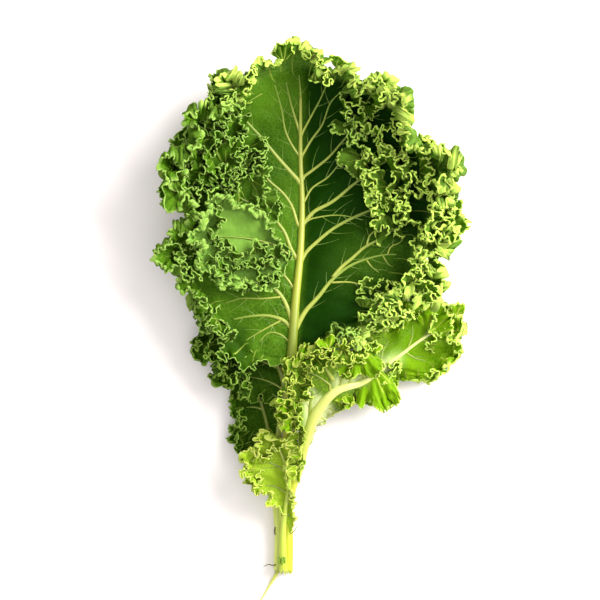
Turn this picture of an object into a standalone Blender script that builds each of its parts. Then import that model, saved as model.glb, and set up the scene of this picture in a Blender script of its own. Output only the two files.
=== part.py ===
"""A small bunch of curly kale, lying flat.

Five leaves lie with their stalks side by side. Each leaf is one solid: a stalk that runs on as
the midrib, a hollowed blade on both sides of it, and a frilled strip all round the blade's rim.
Tables are in millimetres: X to the right, Y towards the leaf tips, Z up from the table top.
"""
import math

import bmesh
import bpy
import numpy as np

MM = 0.001
BLADE_THICKNESS = 0.7
FLOOR = 0.0

# The middle of the bunch's box in the tables' frame, which becomes the part's own origin.
CENTRE_X = -2.71
CENTRE_Y = 1.23

# Stalks and torn fibres: sides and steps of the tubes, and how fast a stalk widens from the foot
# of its blade to the cut, as a share of its width over the stalk's whole length.
STALK_SIDES = 8
STALK_STEPS = 22
CUT_SPREAD = 0.65
STRAND_STEPS = 9
STRAND_GIRTH = (1.2, 0.5)

# Curves are sampled this often: between two given rows, along a midrib and round a rim.
ROW_SAMPLES = 30
STALK_SAMPLES = 200
RIM_SAMPLES = 3000

# A blade's ribs leave the midrib at this share of its half width, run ahead along it before they
# turn out to the rim (share of their length, share of the midrib's direction), and rise late.
RIB_ROOT = 0.35
RIB_BEND = 0.45
RIB_AHEAD = 0.5
RIB_RISE = 0.2

# The frill: steps of its curl, how its curl grows and its rows crowd towards the rim (powers).
CURL_STEPS = 24
CURL_GROWTH = 0.8
ROW_CROWDING = 0.85

# Ruffles: how much and how slowly (in ruffles) their length and their size vary, the power by
# which they grow outwards, and lengths in ruffles: of the calm ends, of the width that a full
# ruffle needs, and of the stretch over which each keeps to the line that it swings round.
LENGTH_DRIFT = ((1.1, 3.1), (0.7, 1.9))
SIZE_DRIFT = (0.18, 2.3)
RUFFLE_GROWTH = 0.8
CALM_END = 0.8
FULL_WIDTH = 0.9
RUFFLE_SPAN = 1.3

# Each leaf has:
#   stalk    (x, y, z) from the cut end to the tip of the midrib
#   girth    half width of the stalk at the cut, where the blade starts, and at the tip
#   start    share of the stalk's length at which the blade starts
#   rim      (x, y, z, root, curl, width) round the inner edge of the frill, foot to foot: root is
#            the place on the midrib that the rib to this point leaves from (0 start, 1 tip), curl
#            is how far the frill turns up in degrees, and width is the frill's own width
#   ruffles  for each size of ruffle its length along the rim, how far the strip swings to each
#            side of it in radians, and the share of the frill's width at which it sets in
#   grid     columns next to the midrib, then how often they double and the rows before each
#   lobes    further sheets of the same leaf, which grow from one of its side ribs
#   strands  torn fibres that hang from the cut end
LEAVES = {
    "leaf_front": {
        "stalk": [(-16.6, -154, 6.9), (-16.6, -126, 6.9), (-18, -105, 7.5), (-17, -77, 11),
                  (-16, -46, 17), (-14, -12, 20), (-12, 16, 18), (-9, 47, 12), (-8, 78, 5),
                  (-9, 105, 1.1), (-9, 126, 3.5), (-9, 143, 8)],
        "girth": (2.2, 3.1, 0.9),
        "start": 0.455,
        "rim": [(-18, -19, 20, 0, 30, 4), (-31, -17, 21, 0.01, 55, 10), (-41, -13, 21, 0.03, 70, 14),
                (-50, -3, 20, 0.07, 75, 14), (-57, 7, 20, 0.12, 80, 14), (-63, 17, 21, 0.17, 80, 15),
                (-70, 26, 22, 0.23, 80, 16), (-75, 36, 23, 0.3, 80, 17), (-77, 48, 24, 0.37, 80, 18),
                (-77, 60, 25, 0.43, 85, 20), (-75, 69, 25, 0.48, 90, 26), (-76, 80, 26, 0.52, 95, 32),
                (-76, 93, 26, 0.57, 95, 34), (-72, 106, 26, 0.62, 95, 34), (-66, 118, 25, 0.67, 95, 34),
                (-61, 130, 24, 0.73, 90, 30), (-52, 139, 22, 0.8, 85, 26), (-38, 146, 19, 0.87, 80, 22),
                (-24, 155, 16, 0.94, 75, 22), (-8, 158, 15, 1, 70, 22), (9, 153, 16, 0.94, 75, 24),
                (24, 145, 18, 0.87, 85, 28), (40, 136, 20, 0.8, 90, 30), (52, 123, 21, 0.73, 95, 33),
                (60, 109, 20, 0.65, 95, 34), (65, 94, 20, 0.57, 90, 32), (67, 78, 19, 0.48, 90, 32),
                (64, 63, 18, 0.4, 90, 30), (57, 51, 18, 0.33, 90, 28), (54, 38, 18, 0.26, 90, 28),
                (50, 25, 19, 0.2, 90, 26), (40, 14, 20, 0.14, 95, 22), (27, 6, 21, 0.09, 95, 18),
                (12, -1, 21, 0.04, 95, 16), (-2, -11, 20, 0.01, 60, 10), (-11, -18, 20, 0, 30, 4)],
        "ruffles": [(24, 1.5, 0.0), (13, 1.2, 0.2)],
        "grid": (44, 4, 1, 1, 2),
        "seed": 3,
        "lobes": [{
            "stalk": [(-15, 43, 14), (-24, 50, 17), (-35, 53, 20), (-49, 55, 23), (-61, 55, 26)],
            "girth": (0.9, 0.9, 0.5),
            "start": 0.0,
            "rim": [(-18, 40, 16, 0, 40, 3), (-27, 33, 19, 0.1, 80, 8), (-38, 29, 22, 0.25, 90, 10),
                    (-49, 31, 24, 0.45, 90, 11), (-60, 36, 26, 0.65, 80, 11),
                    (-68, 45, 28, 0.85, 80, 11), (-69, 55, 29, 1, 80, 11), (-66, 64, 29, 0.85, 80, 10),
                    (-58, 71, 28, 0.65, 70, 9), (-46, 71, 26, 0.45, 60, 8), (-35, 64, 22, 0.25, 50, 6),
                    (-24, 53, 18, 0.1, 40, 4), (-17, 47, 16, 0, 30, 3)],
            "ruffles": [(12, 1.3, 0.0)],
            "grid": (20, 2, 1, 2),
            "seed": 4,
        }],
    },
    "leaf_left": {
        "stalk": [(-22.8, -153, 6.9), (-22.8, -126, 6.9), (-24.5, -108, 7.7), (-24.5, -89, 8.8),
                  (-22, -64, 9.5), (-19, -38, 10), (-24, -23, 9.5), (-32, -12, 10), (-42, 1, 9.5),
                  (-51, 14, 8.5)],
        "girth": (2.1, 2.0, 0.8),
        "start": 0.58,
        "rim": [(-23, -48, 9.5, 0, 30, 4), (-31, -40, 9.5, 0.04, 60, 8), (-42, -33, 9, 0.12, 75, 12),
                (-52, -26, 7, 0.24, 75, 15), (-58, -15, 6, 0.4, 75, 17), (-60, -3, 5.5, 0.58, 75, 17),
                (-62, 7, 6, 0.75, 75, 14), (-62, 16, 7, 0.9, 60, 11), (-58, 23, 8.5, 1, 40, 8),
                (-49, 24, 10.5, 0.9, 25, 6), (-40, 16, 11, 0.75, 20, 6), (-33, 5, 11.5, 0.58, 20, 6),
                (-27, -7, 11.5, 0.4, 20, 6), (-21, -20, 11, 0.22, 20, 5), (-17, -32, 10, 0.08, 20, 4),
                (-17, -45, 9, 0, 30, 3)],
        "ruffles": [(14, 1.4, 0.0)],
        "grid": (30, 3, 1, 2),
        "seed": 5,
    },
    "leaf_left_low": {
        "stalk": [(-22.8, -154, 1.9), (-22.8, -126, 1.9), (-25, -108, 2), (-28, -89, 2.4),
                  (-28.5, -70, 3), (-31, -58, 3.5), (-34, -48, 3.8), (-38, -40, 4)],
        "girth": (2.1, 1.8, 0.8),
        "start": 0.5,
        "rim": [(-29.5, -93, 3, 0, 30, 3), (-34, -87, 3, 0.1, 55, 6), (-39, -78, 3, 0.28, 65, 8),
                (-42, -68, 3, 0.48, 65, 9), (-43, -58, 3, 0.65, 65, 9), (-46, -48, 3, 0.82, 50, 8),
                (-45, -39, 3, 0.95, 30, 6), (-40, -35, 3.5, 1, 20, 4), (-34, -38, 3.5, 0.92, 20, 4),
                (-30, -46, 3.5, 0.75, 20, 4), (-27.5, -55, 3.5, 0.55, 20, 4),
                (-26, -65, 3.2, 0.32, 20, 4), (-25.5, -78, 3, 0.12, 25, 3), (-27, -91, 3, 0, 30, 2)],
        "ruffles": [(11, 1.2, 0.0)],
        "grid": (24, 2, 1, 2),
        "seed": 8,
        "strands": [[(-22, -150, 1.9), (-24, -156, 1.5), (-28, -163, 0.9), (-32, -170, 0.7),
                     (-36, -176, 0.7)]],
    },
    "leaf_right": {
        "stalk": [(-16.6, -154, 1.9), (-16.6, -126, 1.9), (-14.5, -105, 3.5), (-9.5, -89, 8),
                  (-5.5, -71, 15), (2, -52, 22), (13, -40, 26), (29, -35, 22), (51, -20, 14),
                  (66, -9, 11), (74, -4, 10)],
        "girth": (2.1, 2.2, 0.8),
        "start": 0.3,
        "rim": [(-11, -97, 7, 0, 30, 2), (-10, -83, 13, 0.05, 45, 4), (-10, -67, 21, 0.11, 50, 5),
                (-13, -54, 26, 0.18, 60, 6), (-13, -43, 30, 0.24, 55, 7), (-12, -31, 34, 0.29, 50, 7),
                (-7, -21, 36, 0.34, 45, 7), (3, -19, 37, 0.38, 40, 6), (15, -21, 35, 0.43, 35, 5),
                (26, -20, 26, 0.48, 25, 5), (37, -10, 16, 0.54, 20, 5), (47, -5, 12, 0.62, 15, 5),
                (56, 0, 11, 0.7, 20, 6), (67, 8, 9, 0.8, 35, 8), (78, 6, 8, 0.9, 55, 10),
                (83, -3, 8, 1, 65, 10), (81, -14, 8, 0.93, 65, 10), (73, -23, 8, 0.84, 60, 10),
                (62, -27, 9, 0.74, 60, 9), (50, -28, 11, 0.66, 50, 8), (43, -37, 10, 0.58, 40, 8),
                (36, -43, 11, 0.54, 40, 8), (28, -40, 17, 0.5, 50, 8), (18, -44, 20, 0.42, 60, 7),
                (9, -50, 19, 0.32, 60, 7), (-1, -62, 16, 0.22, 60, 5), (-6, -76, 12, 0.13, 60, 4),
                (-9, -90, 8, 0.04, 50, 3), (-10, -98, 6, 0, 30, 2)],
        "ruffles": [(12, 1.3, 0.0)],
        "grid": (38, 3, 1, 2),
        "seed": 13,
    },
    "leaf_small_front": {
        "stalk": [(-19.7, -153, 11.3), (-19.7, -126, 11.3), (-18, -111, 13), (-16, -95, 17),
                  (-19, -84, 20), (-22, -76, 21)],
        "girth": (2.1, 1.8, 0.7),
        "start": 0.4,
        "rim": [(-19, -120, 12, 0, 30, 2), (-24, -108, 16, 0.18, 60, 5), (-32, -100, 19, 0.34, 75, 9),
                (-37, -91, 20, 0.5, 75, 9), (-37, -81, 21, 0.68, 70, 9), (-31, -74, 22, 0.86, 65, 8),
                (-24, -71, 22.5, 1, 60, 7), (-19, -75, 22.5, 0.86, 50, 6), (-17, -84, 21.5, 0.68, 50, 5),
                (-16, -93, 19.5, 0.5, 55, 4), (-15.5, -102, 16.5, 0.32, 55, 4),
                (-16, -110, 13.5, 0.2, 50, 4), (-15, -120, 12.5, 0.1, 50, 3), (-16, -129, 11.5, 0, 30, 2)],
        "ruffles": [(10, 1.2, 0.0)],
        "grid": (24, 2, 1, 2),
        "seed": 21,
    },
}

COLOURS = {
    "leaf_front": (0.07, 0.19, 0.035),
    "leaf_left": (0.09, 0.22, 0.04),
    "leaf_left_low": (0.1, 0.24, 0.05),
    "leaf_right": (0.2, 0.34, 0.08),
    "leaf_small_front": (0.25, 0.4, 0.09),
}


def smooth_curve(rows, count):
    """Rows evenly spaced along a smooth curve through the given rows, whose first three are x, y, z."""
    rows = np.array(rows, dtype=float)
    steps = np.linalg.norm(np.diff(rows[:, :3], axis=0), axis=1)
    knots = np.concatenate(([0.0], np.cumsum(steps)))
    slopes = np.gradient(rows, knots, axis=0)
    places = np.linspace(0.0, knots[-1], ROW_SAMPLES * len(rows))
    spans = np.clip(np.searchsorted(knots, places, side="right") - 1, 0, len(rows) - 2)
    width = steps[spans][:, None]
    share = (places - knots[spans])[:, None] / width
    curve = (rows[spans] * (2 * share**3 - 3 * share**2 + 1)
             + slopes[spans] * width * (share**3 - 2 * share**2 + share)
             + rows[spans + 1] * (3 * share**2 - 2 * share**3)
             + slopes[spans + 1] * width * (share**3 - share**2))
    return evenly_spaced(curve, count)


def evenly_spaced(curve, count):
    steps = np.linalg.norm(np.diff(curve[:, :3], axis=0), axis=1)
    lengths = np.concatenate(([0.0], np.cumsum(steps)))
    places = np.linspace(0.0, lengths[-1], count)
    return np.stack([np.interp(places, lengths, column) for column in curve.T], axis=1)


def unit(vectors):
    return vectors / np.linalg.norm(vectors, axis=-1, keepdims=True)


def pick(table, places):
    """Rows of a table at fractional places from 0 to 1 along it."""
    grid = np.linspace(0.0, 1.0, len(table))
    return np.stack([np.interp(places, grid, column) for column in table.T], axis=1)


def running_mean(values, reach):
    """Mean over a window of reach samples to each side, which closes up at the ends."""
    total = np.concatenate(([0.0], np.cumsum(values)))
    index = np.arange(len(values))
    spread = np.minimum(reach, np.minimum(index, len(values) - 1 - index))
    return (total[index + spread + 1] - total[index - spread]) / (2 * spread + 1)


def ruffle(leaf, length, width, share):
    """How the strip at one share of its width runs to and fro: along the rim, and to its side.

    Each level of ruffles runs along the line that the coarser ones have made.
    """
    draw = np.random.default_rng(leaf["seed"])
    along = np.linspace(0.0, length, RIM_SAMPLES)
    step = length / (RIM_SAMPLES - 1)
    longest = leaf["ruffles"][0][0]
    calm = np.clip(np.minimum(along, length - along) / (CALM_END * longest), 0, 1)
    line, stretch, heading = along, np.ones(RIM_SAMPLES), np.zeros(RIM_SAMPLES)
    forward, sideways = along.copy(), np.zeros(RIM_SAMPLES)
    for wave, swing, onset in leaf["ruffles"]:
        phase = draw.uniform(0, 2 * math.pi, 4)
        even = 2 * math.pi * line / wave
        turn = even.copy()
        for (amount, slowness), start in zip(LENGTH_DRIFT, phase):
            turn += amount * np.sin(even / slowness + start)
        amount, slowness = SIZE_DRIFT
        size = 1.0 + amount * np.sin(turn / slowness + phase[2])
        grown = max(0.0, (share - onset) / (1.0 - onset))**RUFFLE_GROWTH
        room = np.clip(width / (FULL_WIDTH * wave), 0, 1)
        angle = swing * calm * size * grown * room * np.cos(turn + phase[3])
        reach = int(RUFFLE_SPAN * wave / stretch.mean() / step)
        pace = running_mean(np.cos(angle), reach)
        ahead = np.cumsum((np.cos(angle) / pace - 1.0) * stretch) * step
        aside = np.cumsum(np.sin(angle) / pace * stretch) * step
        ahead = ahead - running_mean(ahead, reach)
        aside = aside - running_mean(aside, reach)
        forward = forward + ahead * np.cos(heading) - aside * np.sin(heading)
        sideways = sideways + ahead * np.sin(heading) + aside * np.cos(heading)
        heading = heading + angle
        stretch = stretch / pace
        line = np.cumsum(stretch) * step
    return forward, sideways


def blade_rows(leaf):
    """Rows of points of the blade's middle surface, from the midrib out to the frill's edge."""
    rim = smooth_curve(leaf["rim"], RIM_SAMPLES)
    edge, root, curl, width = rim[:, :3], rim[:, 3], np.radians(rim[:, 4]), rim[:, 5]
    length = np.linalg.norm(np.diff(edge, axis=0), axis=1).sum()
    base, bend = rib_curves(leaf, edge, root)
    run = unit(np.gradient(edge, axis=0))
    out = unit(edge - bend)
    out = unit(out - run * np.sum(out * run, axis=1, keepdims=True))
    normal = np.cross(run, out)

    columns, inner, *frill = leaf["grid"]
    rows = []
    for step in range(inner):
        share = step / inner
        line = (1 - share)**2 * base + 2 * share * (1 - share) * bend + share**2 * edge
        rows.append(pick(line, np.linspace(0, 1, columns + 1)))
    doublings = [number for number, count in enumerate(frill) for _ in range(count)]
    for number, doubling in enumerate(doublings):
        share = (number / (len(doublings) - 1))**ROW_CROWDING
        strip, lift = curled_strip(edge, out, normal, curl, width, share)
        forward, sideways = ruffle(leaf, length, width, share)
        spots = np.linspace(0, 1, columns * 2**(doubling + 1) + 1)
        samples = np.linspace(0, 1, RIM_SAMPLES)
        forward = np.clip(np.interp(spots, samples, forward) / length, 0.0, 1.0)
        sideways = np.interp(spots, samples, sideways)
        rows.append(pick(strip, forward) + pick(lift, forward) * sideways[:, None])
    for row in rows:
        row[:, 2] = np.maximum(row[:, 2], FLOOR + BLADE_THICKNESS / 2)
    return rows


def rib_curves(leaf, edge, root):
    """Where the ribs to all points of the rim leave the midrib, and the places they bend towards."""
    stalk = smooth_curve(leaf["stalk"], STALK_SAMPLES)
    tip = int(np.argmax(root))
    side = np.where(np.arange(RIM_SAMPLES) < tip, 1.0, -1.0)[:, None]
    places = leaf["start"] + (1.0 - leaf["start"]) * np.clip(root, 0.0, 1.0)
    ahead = unit(pick(np.gradient(stalk, axis=0), places))
    left = unit(np.cross((0.0, 0.0, 1.0), ahead))
    base = pick(stalk, places) + left * side * RIB_ROOT * stalk_girth(leaf, places)[:, None]
    reach = edge - base
    far = np.linalg.norm(reach, axis=1, keepdims=True)
    bend = base + RIB_BEND * far * unit(RIB_AHEAD * ahead + reach / far)
    bend[:, 2] = base[:, 2] + RIB_RISE * reach[:, 2]
    return base, bend


def curled_strip(edge, out, normal, curl, width, share):
    """The strip's line at one share of its width, and the direction square to the strip there."""
    line = edge.copy()
    step = (width * share / CURL_STEPS)[:, None]
    for number in range(CURL_STEPS):
        turn = (curl * (share * (number + 0.5) / CURL_STEPS)**CURL_GROWTH)[:, None]
        line = line + (out * np.cos(turn) + normal * np.sin(turn)) * step
    turn = (curl * share**CURL_GROWTH)[:, None]
    return line, normal * np.cos(turn) - out * np.sin(turn)


def stalk_girth(leaf, places):
    cut, base, tip = leaf["girth"]
    return np.interp(places, (0.0, leaf["start"], 1.0), (cut, base, tip))


def stalk_width(leaf, places):
    """Half width of the stalk, which flattens out a little towards the cut."""
    spread = CUT_SPREAD * np.clip(leaf["start"] - places, 0.0, None)
    return stalk_girth(leaf, places) * (1.0 + spread)


def row_triangles(rows):
    """Triangles between neighbouring rows, where the next row may have twice the columns."""
    starts = np.concatenate(([0], np.cumsum([len(row) for row in rows])))
    triangles = []
    for number in range(len(rows) - 1):
        near, far = int(starts[number]), int(starts[number + 1])
        doubled = len(rows[number + 1]) > len(rows[number])
        for column in range(len(rows[number]) - 1):
            here, there = near + column, near + column + 1
            if doubled:
                first = far + 2 * column
                triangles += [(here, first + 1, first), (here, there, first + 1),
                              (there, first + 2, first + 1)]
            elif column % 2:
                first = far + column
                triangles += [(here, first + 1, first), (here, there, first + 1)]
            else:
                first = far + column
                triangles += [(here, there, first), (there, first + 1, first)]
    return triangles


def rim_loop(rows):
    """Point numbers round the sheet's whole edge, in order."""
    starts = np.concatenate(([0], np.cumsum([len(row) for row in rows]))).astype(int)
    first = [int(starts[number]) for number in range(len(rows))]
    last = [int(starts[number + 1]) - 1 for number in range(len(rows))]
    inner = list(range(first[0], last[0] + 1))
    outer = list(range(first[-1], last[-1] + 1))
    return inner + last[1:-1] + outer[::-1] + first[1:-1][::-1]


def thick_sheet(rows, thickness):
    """Points and triangles of the sheet with its thickness, split alike on both faces."""
    points = np.concatenate(rows)
    triangles = np.array(row_triangles(rows))
    corners = points[triangles]
    facing = np.cross(corners[:, 1] - corners[:, 0], corners[:, 2] - corners[:, 0])
    normals = np.zeros_like(points)
    for corner in range(3):
        np.add.at(normals, triangles[:, corner], facing)
    normals = unit(normals)
    count = len(points)
    both = np.concatenate((points + normals * thickness / 2, points - normals * thickness / 2))
    faces = [tuple(triangle) for triangle in triangles]
    faces += [(c + count, b + count, a + count) for a, b, c in triangles]
    loop = rim_loop(rows)
    for here, there in zip(loop, loop[1:] + loop[:1]):
        faces += [(there, here, here + count), (there, here + count, there + count)]
    return both, faces


def tube(path, half_width, half_height):
    """Points and faces of a closed stalk with a flat underside and flat ends."""
    count = len(path)
    ahead = unit(np.gradient(path, axis=0))
    side = unit(np.cross(ahead, (0.0, 0.0, 1.0)))
    rise = np.cross(side, ahead)
    points = []
    for number in range(STALK_SIDES):
        turn = 2 * math.pi * (number + 0.5) / STALK_SIDES
        points.append(path + side * half_width[:, None] * math.cos(turn)
                      + rise * half_height[:, None] * math.sin(turn))
    points = np.stack(points, axis=1).reshape(-1, 3)
    points[:, 2] = np.maximum(points[:, 2], FLOOR)
    faces = []
    for step in range(count - 1):
        for number in range(STALK_SIDES):
            nearby = (number + 1) % STALK_SIDES
            here = step * STALK_SIDES
            faces.append((here + number, here + nearby, here + STALK_SIDES + nearby))
            faces.append((here + number, here + STALK_SIDES + nearby, here + STALK_SIDES + number))
    faces.append(tuple(range(STALK_SIDES))[::-1])
    faces.append(tuple(range((count - 1) * STALK_SIDES, count * STALK_SIDES)))
    return points, faces


def make_object(name, points, faces):
    mesh = bpy.data.meshes.new(name)
    placed = (np.array(points) - (CENTRE_X, CENTRE_Y, 0.0)) * MM
    mesh.from_pydata(placed.tolist(), [], [tuple(int(i) for i in face) for face in faces])
    mesh.validate()
    item = bpy.data.objects.new(name, mesh)
    bpy.context.scene.collection.objects.link(item)
    return item


def unite(base, other):
    """Join the other solid into the base for good."""
    union = base.modifiers.new("union", "BOOLEAN")
    union.operation = "UNION"
    union.solver = "EXACT"
    union.use_self = True
    union.object = other
    whole = bpy.data.meshes.new_from_object(base.evaluated_get(bpy.context.evaluated_depsgraph_get()))
    base.modifiers.clear()
    base.data = whole
    whole.name = base.name
    bpy.data.objects.remove(other)


def keep_outer_shell(item):
    """Drop the inner shells that folds seal off, and loose scraps, so that one closed body is left."""
    cage = bmesh.new()
    cage.from_mesh(item.data)
    waiting = set(cage.faces)
    shells = []
    while waiting:
        shell = []
        fresh = [waiting.pop()]
        while fresh:
            face = fresh.pop()
            shell.append(face)
            for edge in face.edges:
                near = waiting.intersection(edge.link_faces) if len(edge.link_faces) == 2 else ()
                waiting.difference_update(near)
                fresh += near
        shells.append(shell)
    shells.sort(key=len)
    for shell in shells[:-1]:
        bmesh.ops.delete(cage, geom=shell, context="FACES")
    cage.to_mesh(item.data)
    cage.free()


def leaf_material(name):
    material = bpy.data.materials.new(name)
    material.use_nodes = True
    shader = material.node_tree.nodes["Principled BSDF"]
    shader.inputs["Base Color"].default_value = (*COLOURS[name], 1.0)
    shader.inputs["Roughness"].default_value = 0.5
    shader.inputs["Metallic"].default_value = 0.0
    return material


def make_sheet(name, leaf):
    """One blade united with the stalk or rib that it grows from."""
    points, faces = thick_sheet(blade_rows(leaf), BLADE_THICKNESS)
    blade = make_object(name, points, faces)
    path = smooth_curve(leaf["stalk"], STALK_STEPS)
    places = np.linspace(0, 1, STALK_STEPS)
    girths = stalk_width(leaf, places), stalk_girth(leaf, places)
    stalk = make_object(name + "_stalk", *tube(path, *girths))
    unite(blade, stalk)
    return blade


def make_leaf(name, leaf):
    whole = make_sheet(name, leaf)
    for lobe in leaf.get("lobes", []):
        unite(whole, make_sheet(name + "_lobe", lobe))
    for strand in leaf.get("strands", []):
        path = smooth_curve(strand, STRAND_STEPS)
        girth = np.linspace(*STRAND_GIRTH, STRAND_STEPS)
        unite(whole, make_object(name + "_strand", *tube(path, girth, girth)))
    keep_outer_shell(whole)
    whole.data.materials.clear()
    whole.data.materials.append(leaf_material(name))


for item in list(bpy.data.objects):
    bpy.data.objects.remove(item)
for leaf_name, leaf_values in LEAVES.items():
    make_leaf(leaf_name, leaf_values)
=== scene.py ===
import math

import bpy
import numpy as np
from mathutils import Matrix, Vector
from mathutils.bvhtree import BVHTree


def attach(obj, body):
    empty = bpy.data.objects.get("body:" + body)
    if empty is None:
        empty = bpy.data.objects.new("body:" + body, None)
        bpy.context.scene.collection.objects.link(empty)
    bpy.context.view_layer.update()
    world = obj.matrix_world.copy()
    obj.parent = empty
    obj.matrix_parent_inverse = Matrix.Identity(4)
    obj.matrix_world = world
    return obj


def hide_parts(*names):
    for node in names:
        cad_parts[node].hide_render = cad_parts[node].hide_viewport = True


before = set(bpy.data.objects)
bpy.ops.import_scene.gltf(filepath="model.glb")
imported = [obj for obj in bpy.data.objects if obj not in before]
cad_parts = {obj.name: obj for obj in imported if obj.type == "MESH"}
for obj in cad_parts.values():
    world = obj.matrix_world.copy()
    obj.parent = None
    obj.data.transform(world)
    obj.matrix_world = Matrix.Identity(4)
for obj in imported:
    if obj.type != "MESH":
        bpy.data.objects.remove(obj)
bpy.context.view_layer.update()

# All tables are in millimetres in the frame that the leaves were laid out in: X to the right, Y
# towards the leaf tips, Z up from the table top. CENTRE is the middle of the bunch's box there.
MM = 0.001
CENTRE = np.array((-2.71, 1.23, 0.0))

# Curves are sampled this often: between two given rows, along a midrib, round a rim, and round a
# rim again for its ruffles.
ROW_SAMPLES = 30
STALK_SAMPLES = 200
RIM_SAMPLES = 3000
RUFFLE_SAMPLES = 3 * RIM_SAMPLES
RIM_PLACES = np.linspace(0.0, 1.0, RIM_SAMPLES)

# Sheets: thickness of a blade, of a fold and of their outer edges, how wide such an edge is, and
# how low a sheet's underside and a fold's middle may lie.
BLADE_THICKNESS = 0.45
FOLD_THICKNESS = 0.4
EDGE_THICKNESS = 0.6
EDGE_WIDTH = 0.45
SHEET_FLOOR = 0.05
FOLD_FLOOR = 0.3

# A blade's ribs leave the midrib at this share of its half width, run ahead along it before they
# turn out to the rim (share of their length, share of the midrib's direction), and rise late.
RIB_ROOT = 0.35
RIB_BEND = 0.45
RIB_AHEAD = 0.5
RIB_RISE = 0.2

# The frill: its width as a share of the table's, and uneven lobes of its edge as (length, share of
# the width). Its curl: steps and the power by which it grows. Where it lies open, these shares of
# its curl and of its width are gone.
FRILL_WIDTH = 0.94
SCALLOPS = ((31.0, 0.05), (17.0, 0.05), (7.0, 0.05))
CURL_STEPS = 24
CURL_GROWTH = 0.8
OPEN_CURL = 0.6
OPEN_WIDTH = 0.3

# Teeth on the frill: length, height, the share of the width at which they set in, how much and how
# slowly (in millimetres) their length varies, and the width of frill that carries full ones.
TOOTH_LENGTH = 2.3
TOOTH_HEIGHT = 1.6
TOOTH_START = 0.6
TOOTH_DRIFT = ((2.0, 3.7), (1.0, 1.3))
TOOTHED_WIDTH = 10.0

# Ruffles: how much and how slowly (in ruffles) their length and their size vary, the power by
# which they grow outwards, and lengths in ruffles: of a rim's and of a fold's calm ends, of the
# width that a full ruffle needs, and of the stretch over which each keeps to the line it swings on.
LENGTH_DRIFT = ((1.1, 3.1), (0.7, 1.9))
SIZE_DRIFT = (0.18, 2.3)
RUFFLE_GROWTH = 0.8
CALM_END = 0.8
FOLD_CALM_END = 0.3
FULL_WIDTH = 0.9
RUFFLE_SPAN = 1.3

# A blade bulges up between its ribs, this high and at this distance from one, and lies this deep on
# them. Swells and fine bumps have a height and a length, and swells keep off the ribs. Bulges and
# swells fade between two places on the way out, where 0 is the midrib, 1 the rim and 2 the edge.
BULGE_HEIGHT = 2.2
BULGE_REACH = 6.0
RIB_DEPTH = 0.6
SWELLS = (0.7, 16.0)
SWELL_REACH = 5.0
BUMPS = (0.12, 4.5)
BULGE_END = 1.25
BULGE_FADE = 0.3

# Thin veins run up the frill, one in this length of rim. They fade before and after these places on
# the way out. Points inside the rim count as this far from the edge.
FRILL_VEIN_STEP = 8
FRILL_VEIN_REACH = (0.95, 1.7)
FRILL_VEIN_FADE = (5, 3)
INSIDE = 20.0

# Stalks: steps and sides of their tubes, and how fast they widen towards the cut.
STALK_STEPS = 160
STALK_SIDES = 20
CUT_SPREAD = 0.65

# Ribs and veins: sides, distance of their points, height over the blade, how the half widths in
# the tables are scaled and flattened, and a vein's half widths. A lobe's rib: steps, half widths.
RIB_SIDES = 7
RIB_STEP = 1.5
RIB_LIFT = 0.3
VEIN_LIFT = 0.15
RIB_SCALE = 1.35
RIB_FLATNESS = 0.7
VEIN_WIDTHS = (0.26, 0.12)
LOBE_RIB_STEPS = 30
LOBE_RIB_WIDTHS = (0.8, 0.3)

# Leaves without a table of ribs have at least this many, one in this length of rim, with so many
# points and these half widths.
FEWEST_RIBS = 6
RIB_SPACING = 17
OWN_RIB_POINTS = 12
OWN_RIB_WIDTHS = (0.75, 0.25)

# Veins leave a side rib to both sides: where the first may leave, the distance to the next and to
# the rib's end, their angle in degrees and by how much it shrinks in each step, length and steps.
BRANCH_FIRST = (5, 8)
BRANCH_STEP = (5.0, 9.0)
BRANCH_END = 3
BRANCH_ANGLE = (38, 58)
BRANCH_BEND = 0.86
BRANCH_LENGTH = (8, 17)
BRANCH_STEPS = 4

# Rays look down from ABOVE. A rib's first point may be taken from the blade this near to it, and a
# rib that starts this close to the midrib gets a foot in it.
ABOVE = 200.0
NEAR_BLADE = 3.0
NEAR_MIDRIB = 6.0

# Torn fibres round a cut: how many, sides, steps, where they leave the stalk (share of its half
# width, distance from the cut), how far their tips spread and stand out, bow, the lowest that they
# lie, half widths. Other fibres: sides and steps.
FRAYS = 11
FRAY_SIDES = 6
FRAY_STEPS = 8
FRAY_ROOT = (0.75, 2.0)
FRAY_SPREAD = (0.7, 1.25)
FRAY_LENGTH = (0.4, 2.6)
FRAY_BOW = 0.2
FRAY_FLOOR = 0.5
FRAY_WIDTHS = (0.6, 0.15)
FIBRE_SIDES = 10
FIBRE_STEPS = 40

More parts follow.
